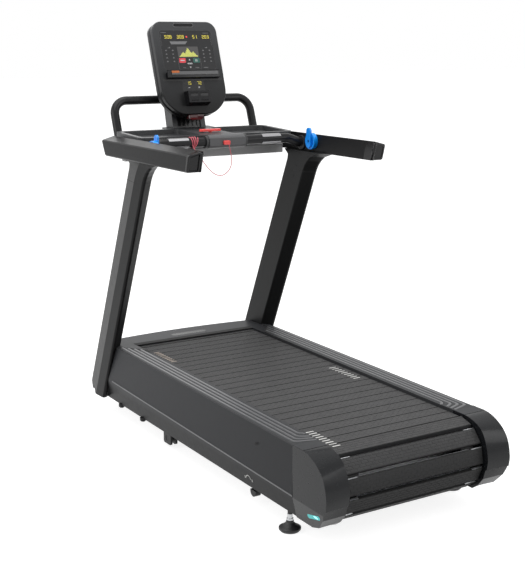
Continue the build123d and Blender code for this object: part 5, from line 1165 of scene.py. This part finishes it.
# ---------------- hood, side covers and small parts
SKIRT_SLOPE = 0.24             # how far the skirt leans in for each metre down
CREASE_AT_MARK = (0.3767, 0.151)   # X and Z of the crease beside the lift mark
CREASE_ENDS = ((0.388, 0.65, 0.17), (0.3742, -0.704, 0.147))
CREASE_SECTION = ((-0.0016, 0.003), (0.0002, 0.003), (0.0005, 0.0004), (-0.0006, -0.0026),
                  (-0.0024, -0.0026))
MARK_PLACE = (-0.424, 0.106)   # Y and Z
MARK_RADIUS = 0.014
MARK_HALF_THICK = 0.0015
MARK_STEPS = 12
GLOW_MIDDLE = (0.36745, -0.829, 0.1197)
GLOW_HALF_LONG = 0.013
GLOW_HALF_HIGH = 0.0036
HOOD_SHADOW_SPAN = (0.629, 0.66)      # Y of the painted shadow under the hood's rear edge, rear and front
HOOD_SHADOW_RISE = (0.3125, 0.3156)
HOOD_WEDGE = ((CAP_INNER, 0.48), (CAP_INNER, 0.535), (0.338, 0.603), (0.341, 0.59))
HOOD_WEDGE_RISE = (0.318, 0.319)
HOOD_PLATE_RISE = (0.3145, 0.3154)
PADDLE_MIDDLE = (0.286, 1.157)   # Y and Z
PADDLE_FACE = 0.3436
BOLT_X = 0.36
BOLT_ROWS = (0.62, 0.416)      # Y
FOOT_PLACE = (0.341, -0.642)
SLEEVE_FOOT = 0.037
UP = (0, 0, 1)


def make_hood_shadow_and_wedges():
    """A dark band painted as the shadow under the hood's rear edge, and the dark wedge at each end of it.
    """
    (rear, front), (low, high) = HOOD_SHADOW_SPAN, HOOD_SHADOW_RISE
    # painted shadow: a dark band across the belt under the hood's rear edge
    shadow_band = box((-CAP_INNER, rear, low), (CAP_INNER, front, high))
    wedge = upright_prism(HOOD_WEDGE, *HOOD_WEDGE_RISE)
    solid_piece("hood_lip", [shadow_band, *both_sides([wedge])], "dark_seam")


def make_crease_edges():
    """The rolled edge along the bend of each side cover, painted lighter as the highlight that it catches.
    """
    edge = [[(x + out, y, z + up) for out, up in CREASE_SECTION] for x, y, z in CREASE_ENDS]
    solid_piece("crease_edges", both_sides([edge]), "crease_light")


def make_light_glow():
    """The bright spot where each status light's lamp sits behind its lens."""
    lean = math.atan(SKIRT_SLOPE)
    out = Vector((math.cos(lean), 0, -math.sin(lean)))
    up = Vector((math.sin(lean), 0, math.cos(lean)))
    ring = ring_points(GLOW_MIDDLE, Vector((0, GLOW_HALF_LONG, 0)), GLOW_HALF_HIGH * up, 16)
    spot = prism(ring, out * -2 * SINK, out * 0.0003)
    solid_piece("light_glow", both_sides([spot]), "light_glow")


def make_paddle_hubs():
    """The dark centre and small screw of each thumb paddle."""
    for side, label in SIDES:
        for name, proud, radius, sides, paint, slot in (
            ("paddle_hub_", 0.0, 0.0125, 24, "black_plastic", None),
            ("paddle_screw_", 0.0012, 0.0042, 16, "zinc_plate", "zinc"),
        ):
            place = (side * (PADDLE_FACE - proud), *PADDLE_MIDDLE)
            face = disc(place, (-side, 0, 0), radius, 0.0012, sides)
            solid_piece(name + label, [face], paint, "thumb_paddle_" + label)


def make_lift_mark():
    """A plain white arc with a bar at each end, printed where a foot tips the frame for moving."""
    turns = [math.radians(10 + 160 * step / MARK_STEPS) for step in range(MARK_STEPS + 1)]
    outlines = [box_outline(shift - 0.0028, -0.003, shift + 0.0028, 0.006) for shift in (-0.023, 0.023)]
    for start, end in zip(turns, turns[1:]):
        corners = [(MARK_RADIUS + across * MARK_HALF_THICK, turn)
                   for across, turn in ((-1, start), (-1, end), (1, end), (1, start))]
        outlines.append([(radius * math.cos(turn), radius * math.sin(turn)) for radius, turn in corners])
    middle_y, middle_z = MARK_PLACE
    crease_x, crease_z = CREASE_AT_MARK
    solids = []
    for outline in outlines:
        shape = [(crease_x - SKIRT_SLOPE * (crease_z - middle_z - up), middle_y + along, middle_z + up)
                 for along, up in outline]
        solids.append(prism(shape, (-0.0004, 0, 0), (0.0007, 0, 0)))
    solid_piece("lift_mark", both_sides(solids), "mark_white")


def make_hood_plate():
    """The blank oval plate let into the top of the hood."""
    outline = round_outline(-0.082, 0.684, 0.082, 0.716, 0.0155, 8)
    solid_piece("hood_plate", [upright_prism(outline, *HOOD_PLATE_RISE)], "gloss_black")


def make_skirt_bolts():
    """Dark bolt heads and their washers under the lower edge of each side cover."""
    bolts = []
    for y in BOLT_ROWS:
        bolts.append(disc((BOLT_X, y, 0.062), UP, radius=0.009, thick=0.015, sides=6))
        bolts.append(disc((BOLT_X, y, 0.066), UP, radius=0.0125, thick=0.012, sides=20))
    solid_piece("skirt_bolts", both_sides(bolts), "powder_black")


def make_foot_sleeves():
    """The bright plated sleeve and nut round the stem of each levelling foot."""
    for side, label in SIDES:
        place = (side * FOOT_PLACE[0], FOOT_PLACE[1], SLEEVE_FOOT)
        sleeve = disc(place, UP, radius=0.0088, thick=0.021, sides=24)
        nut = disc(place, UP, radius=0.012, thick=0.006, sides=6)
        solid_piece("foot_sleeve_" + label, [sleeve, nut], "bare_steel", "foot_" + label)


make_hood_shadow_and_wedges()
make_crease_edges()
make_light_glow()
make_paddle_hubs()
make_lift_mark()
make_hood_plate()
make_skirt_bolts()
make_foot_sleeves()


# ---------------- studio stage
FLOOR_HALF = 40.0
FLOOR_LIFT = 0.86              # brings the lit floor up to white where it is seen
WHITE = (1, 1, 1, 1)


def background_rays(tree):
    """1 for the rays that show the pale background: seen, mirrored or passed through glass."""
    ray = add_node(tree, "ShaderNodeLightPath").outputs
    seen = math_node(tree, "MAXIMUM", ray["Is Camera Ray"], ray["Is Glossy Ray"])
    return math_node(tree, "MAXIMUM", seen, ray["Is Transmission Ray"])


def lay_floor():
    """A wide pale floor that keeps the machine's shadow."""
    mesh = bpy.data.meshes.new("floor")
    corners = box_outline(-FLOOR_HALF, -FLOOR_HALF, FLOOR_HALF, FLOOR_HALF)
    mesh.from_pydata([(x, y, 0.0) for x, y in corners], [], [(0, 1, 2, 3)])
    tree, shader = open_material("pale_floor")
    feed(tree, shader, {
        "Base Color": opaque(0.35), "Roughness": 0.8, "Specular IOR Level": 0.1, "Emission Color": WHITE,
        "Emission Strength": math_node(tree, "MULTIPLY", background_rays(tree), FLOOR_LIFT),
    })
    mesh.materials.append(finish["pale_floor"])
    place_object("floor", mesh)


def light_world():
    """A world that lights softly from above, and is white where it shows as background."""
    scene.world = bpy.data.worlds.new("studio_world")
    scene.world.use_nodes = True
    tree = scene.world.node_tree
    tree.nodes.clear()
    upward = split_node(tree, add_node(tree, "ShaderNodeTexCoord").outputs["Generated"])["Z"]
    level = span_node(tree, upward, 0.0, 0.9, 0.1, 1.35)
    room, seen = [add_node(tree, "ShaderNodeBackground", {"Color": WHITE, "Strength": strength}).outputs[0]
                  for strength in (level, 1.0)]
    shown = add_node(tree, "ShaderNodeMixShader", {0: background_rays(tree), 1: room, 2: seen}).outputs[0]
    add_node(tree, "ShaderNodeOutputWorld", {"Surface": shown})


def hang_lamps():
    """Soft square lamps at a plain level: name, place, aim, size and power."""
    for name, place, aim, size, power in (
        ("overhead_softbox", (-0.4, 0.0, 4.2), (0.0, 0.0, 0.5), 3.4, 95.0),
        ("left_softbox", (-4.4, 0.6, 2.6), (0.0, 0.2, 0.6), 2.4, 60.0),
        ("right_softbox", (3.4, -3.2, 2.4), (0.0, 0.0, 0.6), 2.4, 40.0),
        ("back_softbox", (0.8, 4.6, 2.8), (0.0, 0.5, 0.8), 2.4, 22.0),
    ):
        lamp = bpy.data.lights.new(name, "AREA")
        lamp.shape = "SQUARE"
        lamp.size = size
        lamp.energy = power
        place_object(name, lamp).matrix_world = look_along(place, Vector(aim) - Vector(place))


lay_floor()
light_world()
hang_lamps()
scene.view_settings.view_transform = "Standard"
